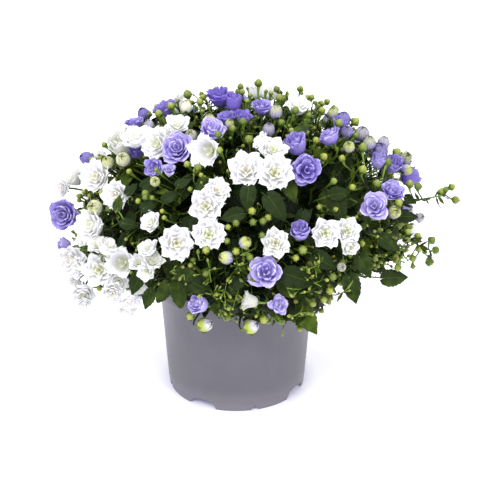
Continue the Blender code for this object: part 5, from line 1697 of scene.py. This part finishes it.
# the underside follows the pot's floor, which lies lower in the middle
low_r = np.array([0.4, 27.4, 31.6, wall_inner(9.4) - 0.6])[:, None]
low_z = np.array([2.2, 2.2, 9.4, 9.4])[:, None]
body = np.concatenate([around_axis(low_r, a, low_z), top])
soil_basket = Basket()
soil_basket.add(body.reshape(-1, 3), closed_faces(len(body), PEAT_SIDES))

# %% Crumbs and perlite: lumpy balls of twenty triangles
draw = np.random.default_rng(5)
g = (1 + 5 ** 0.5) / 2
corners = unit(np.array([(-1, g, 0), (1, g, 0), (-1, -g, 0), (1, -g, 0), (0, -1, g), (0, 1, g), (0, -1, -g),
                         (0, 1, -g), (g, 0, -1), (g, 0, 1), (-g, 0, -1), (-g, 0, 1)], float))
sides = np.array([(0, 11, 5), (0, 5, 1), (0, 1, 7), (0, 7, 10), (0, 10, 11), (1, 5, 9), (5, 11, 4),
                  (11, 10, 2), (10, 7, 6), (7, 1, 8), (3, 9, 4), (3, 4, 2), (3, 2, 6), (3, 6, 8),
                  (3, 8, 9), (4, 9, 5), (2, 4, 11), (6, 2, 10), (8, 6, 7), (9, 8, 1)])
for count, low, high, finish in ((380, 0.6, 2.2, 0), (60, 0.6, 1.6, 1)):
    r = edge * 0.97 * np.sqrt(draw.random(count))
    a = draw.uniform(0, 6.3, count)
    size = draw.uniform(low, high, (count, 1)) * draw.uniform(0.7, 1.3, (count, 3))
    lumpy = corners[None] * draw.uniform(0.75, 1.25, (count, 12, 1)) * size[:, None]
    place = around_axis(r, a, SOIL_TOP - 0.3 + draw.uniform(-0.5, 0.8, count))
    soil_basket.add(lumpy + place[:, None], sides, finish, tone=draw.random((count, 1)))


def peat_finish():
    """Dark brown peat with lighter fibres, dull and crumbly."""
    f = Finish("peat")
    cloud, fine = f.noise(5.0, 5.0, 0.65), f.noise(0.8, 3.0)
    body = f.mix(cloud.step(0.3, 0.7), rgb(28, 20, 15), rgb(70, 52, 38))
    body = f.mix(fine.step(0.62, 0.72) * 0.6, body, rgb(112, 88, 62))
    f.set(Base_Color=body, Roughness=0.95, Normal=f.bump(cloud + fine, 0.8, 1.0), Specular_IOR_Level=0.15)
    return f.mat


def perlite_finish():
    """Chalky white grains with a grey bloom."""
    f = Finish("perlite")
    body = f.mix(f.noise(0.7).step(0.3, 0.8), rgb(196, 194, 186), rgb(236, 235, 230))
    f.set(Base_Color=body, Roughness=0.9)
    return f.mat


soil = stands_for(soil_basket.piece("peat", [peat_finish(), perlite_finish()], 35), "soil", "soil")
print("soil", soil["triangles"], "triangles")

# %% [markdown]
# ## Pot
# A thin moulded pot of recycled grey plastic: a tapered wall, a rolled rim, a foot ring
# with four arches over the drain holes and four small notches. A turned profile gives
# all but the arches. Instead of cutting them, the foot's lower edge is lifted by the
# arch's height wherever an arch stands, so the wall keeps clean edges. The drain holes
# are cut from the floor afterwards.

# %% The turned wall with its lifted foot
# degrees round the pot of the arches and notches, and how wide in degrees and high they are
ARCHES, ARCH = (-29.5, 60.5, 150.5, 240.5), (24.0, 6.6)
NOTCHES, NOTCH = (15.5, 105.5, 195.5, 285.5), (4.6, 3.4)
PAD_R = 27.0
FLOOR_Z = 7.4
# the moulded step above the foot, and the height over which the foot's lift fades out
STEP, STEP_Z, LIFT_Z = 0.3, 7.0, 8.5
POT_SIDES = 288


def lift(a):
    """Height of the foot's lower edge round the pot.

    Each arch or notch is its height times (1 - |x|^3)^0.5, with x from -1 to 1 across it.
    """
    up = np.zeros_like(a)
    for middle, wide, high in [(m, *ARCH) for m in ARCHES] + [(m, *NOTCH) for m in NOTCHES]:
        x = np.abs((a - middle + 180) % 360 - 180) / (wide / 2)
        up = np.maximum(up, high * np.clip(1 - x ** 3.0, 0, 1) ** 0.5)
    return up


def outer_wall(z):
    """Radius of the outer wall, tapered, and a little less below the moulded step of the foot."""
    return BASE_R - STEP + (WALL_TOP_R - BASE_R + STEP) * z / RIM_LOW - STEP * (z < STEP_Z)


degrees = np.arange(POT_SIDES) * 360.0 / POT_SIDES
up = lift(degrees)[None, :]
angle = np.radians(degrees)[None, :]
# radius, height, and whether the arches and notches lift the row
rows = [(0.2, 0.0, 0), (PAD_R - 0.6, 0.0, 0), (PAD_R + 0.3, 0.5, 0), (PAD_R + 4.2, FLOOR_Z - 0.6, 0),
        (PAD_R + 5.0, FLOOR_Z, 0), (BASE_R - 3.0, FLOOR_Z, 0), (BASE_R - 2.3, FLOOR_Z - 0.6, 0),
        (BASE_R - 1.75, 0.5, 1), (BASE_R - 1.45, 0.0, 1), (BASE_R - 0.7, 0.0, 1)]
rows += [(outer_wall(0.3) - 0.05, 0.4, 1)] + [(outer_wall(z), z, 1) for z in (1.2, 3.0, 5.5, 6.9, 7.3)]
rows += [(outer_wall(z), z, 0) for z in (12.0, 20.0, 34.0, 50.0, 66.0, 80.0, RIM_LOW - 0.5)]
rows += [(WALL_TOP_R + 0.5, RIM_LOW, 0), (RIM_R - 0.7, RIM_LOW + 0.1, 0), (RIM_R - 0.2, RIM_LOW + 0.7, 0),
         (RIM_R, POT_H - 1.4, 0), (RIM_R - 0.3, POT_H - 0.5, 0), (RIM_R - 1.0, POT_H, 0),
         (wall_inner(POT_H) + 0.6, POT_H, 0), (wall_inner(POT_H), POT_H - 0.6, 0)]
rows += [(wall_inner(z), z, 0) for z in (70.0, 40.0, FLOOR_Z + 2.4)]
rows += [(wall_inner(FLOOR_Z) - 0.9, FLOOR_Z + 1.6, 0), (PAD_R + 5.6, FLOOR_Z + 1.6, 0),
         (PAD_R + 1.2, 1.8, 0), (0.2, 1.8, 0)]
r, z, foot = np.array(rows).T[:, :, None]
z = z + foot * up * (1 - z / LIFT_Z)
# two faint dents in the thin wall
wall = (z > 12) & (z < POT_H) & (r > BASE_R - 2)
dent = np.exp(-(((degrees - 34) / 7) ** 2)) + 0.8 * np.exp(-(((degrees - 297) / 8) ** 2))
r = r - wall * 0.35 * dent[None, :] * np.sin(math.pi * np.clip(z / POT_H, 0, 1))
skin = np.stack([r * np.sin(angle), -r * np.cos(angle), z + 0 * angle], -1)
basket = Basket()
basket.add(skin.reshape(-1, 3), closed_faces(len(rows), POT_SIDES))


# %% Recycled plastic
def plastic_finish():
    """Grey recycled plastic: a fine grain, faint flow clouds, tiny flecks, a low satin gloss, and a painted
    light that makes it lighter towards the foot.
    """
    f = Finish("recycled plastic")
    flow = f.noise(34.0, 3.0)
    grain, fleck = f.noise(0.45, 2.0), f.noise(0.9, 1.0)
    body = f.mix(flow.step(0.3, 0.7), rgb(86, 84, 92), rgb(92, 90, 98))
    high = f.node("ShaderNodeSeparateXYZ", None, {"Vector": f.place()}, output="Z")
    # lighter below 22 mm, towards the foot: a painted light from the bright floor
    body = f.mix(high.step(0.0, 0.022), rgb(114, 111, 118), body)
    body = f.mix(fleck.step(0.70, 0.78) * 0.35, body, rgb(124, 122, 128))
    body = f.mix((1 - fleck).step(0.72, 0.80) * 0.30, body, rgb(70, 68, 74))
    f.set(Base_Color=body, Roughness=(grain - 0.5) * 0.2 + 0.40, Specular_IOR_Level=0.5,
          Normal=f.bump(grain + flow * 0.3, 0.05, 0.5))
    return f.mat


pot = basket.piece("pot_wall", [plastic_finish()], 38)

# %% Drain holes
HOLE_R, HOLE_SIDES, HOLES_AT = 4.6, 32, 43.0
cutters = bpy.data.collections.new("drain_cutters")
bpy.context.scene.collection.children.link(cutters)
for middle in ARCHES:
    m = math.radians(middle)
    ring = around_axis(HOLE_R, np.arange(HOLE_SIDES) * 2 * math.pi / HOLE_SIDES, 0.0)
    ring = ring + (HOLES_AT * math.sin(m), -HOLES_AT * math.cos(m), 0)
    basket = Basket()
    basket.add(np.concatenate([ring + (0, 0, 4.0), ring + (0, 0, 12.0)]), closed_faces(2, HOLE_SIDES))
    cutter = basket.piece("drain_cutter", [])
    bpy.context.scene.collection.objects.unlink(cutter)
    cutters.objects.link(cutter)
hole = pot.modifiers.new("drains", "BOOLEAN")
hole.operand_type = "COLLECTION"
hole.collection = cutters
hole.solver = "EXACT"
bpy.context.view_layer.update()
cut = bpy.data.meshes.new_from_object(pot.evaluated_get(bpy.context.evaluated_depsgraph_get()))
pot.modifiers.clear()
pot.data = cut
for cutter in list(cutters.objects):
    bpy.data.objects.remove(cutter)
bpy.data.collections.remove(cutters)
stands_for(pot, "pot_plastic", "pot")
print("pot", len(pot.data.polygons), "faces")

# %% [markdown]
# ## Floor and light
# A photographer's table: a white floor under bright, soft light from above, a little
# stronger from the left, with light from behind that rims the top of the plant. The
# paper also gives off a faint painted glow, weaker and bluer under the pot, so a short
# painted shadow lies where the pot's foot is open. The surroundings are white, so no side goes dark.

# %% Floor
WIDE = 6
floor_data = bpy.data.meshes.new("floor")
floor_data.from_pydata([(-WIDE, -WIDE, 0), (WIDE, -WIDE, 0), (WIDE, WIDE, 0), (-WIDE, WIDE, 0)], [],
                       [(0, 1, 2, 3)])
floor = bpy.data.objects.new("floor", floor_data)
bpy.context.scene.collection.objects.link(floor)
# the paper's painted glow grows from 50 to 70 mm from the axis; weaker and bluer under the pot, it paints
# the shadow there
paper = Finish("white floor")
reach = paper.node("ShaderNodeVectorMath", {"operation": "LENGTH"}, {0: paper.place()}, output="Value")
glow = paper.mix(reach.step(0.050, 0.070), (0.27, 0.27, 0.45, 1.0), (0.94, 0.94, 0.97, 1.0))
paper.set(Base_Color=(0.87, 0.87, 0.95, 1.0), Roughness=0.35, Specular_IOR_Level=0.4,
          Emission_Strength=0.43, Emission_Color=glow)
floor_data.materials.append(paper.mat)
print("floor", 2 * WIDE, "m wide")

# %% Lights
AIM = (0.0, 0.0, 0.15)


def lamp(name, where, size, power):
    """A square soft light at a place in metres that faces the middle of the plant."""
    data = bpy.data.lights.new(name, "AREA")
    data.size = size
    data.energy = power
    obj = bpy.data.objects.new(name, data)
    bpy.context.scene.collection.objects.link(obj)
    obj.location = where
    away = np.array(where) - np.array(AIM)
    obj.rotation_euler = (math.acos(basis(away)[2, 2]), 0.0, math.atan2(away[0], -away[1]))


lamp("key", (-0.6, -1.1, 1.65), size=1.3, power=33.0)
lamp("fill", (1.15, -1.05, 1.0), size=1.2, power=12.0)
lamp("top", (0.1, 0.5, 1.7), size=0.8, power=14.0)

world = bpy.data.worlds.new("white surroundings")
world.use_nodes = True
sky = world.node_tree.nodes["Background"].inputs
sky["Color"].default_value = (1.0, 1.0, 1.0, 1.0)
sky["Strength"].default_value = 0.80
bpy.context.scene.world = world
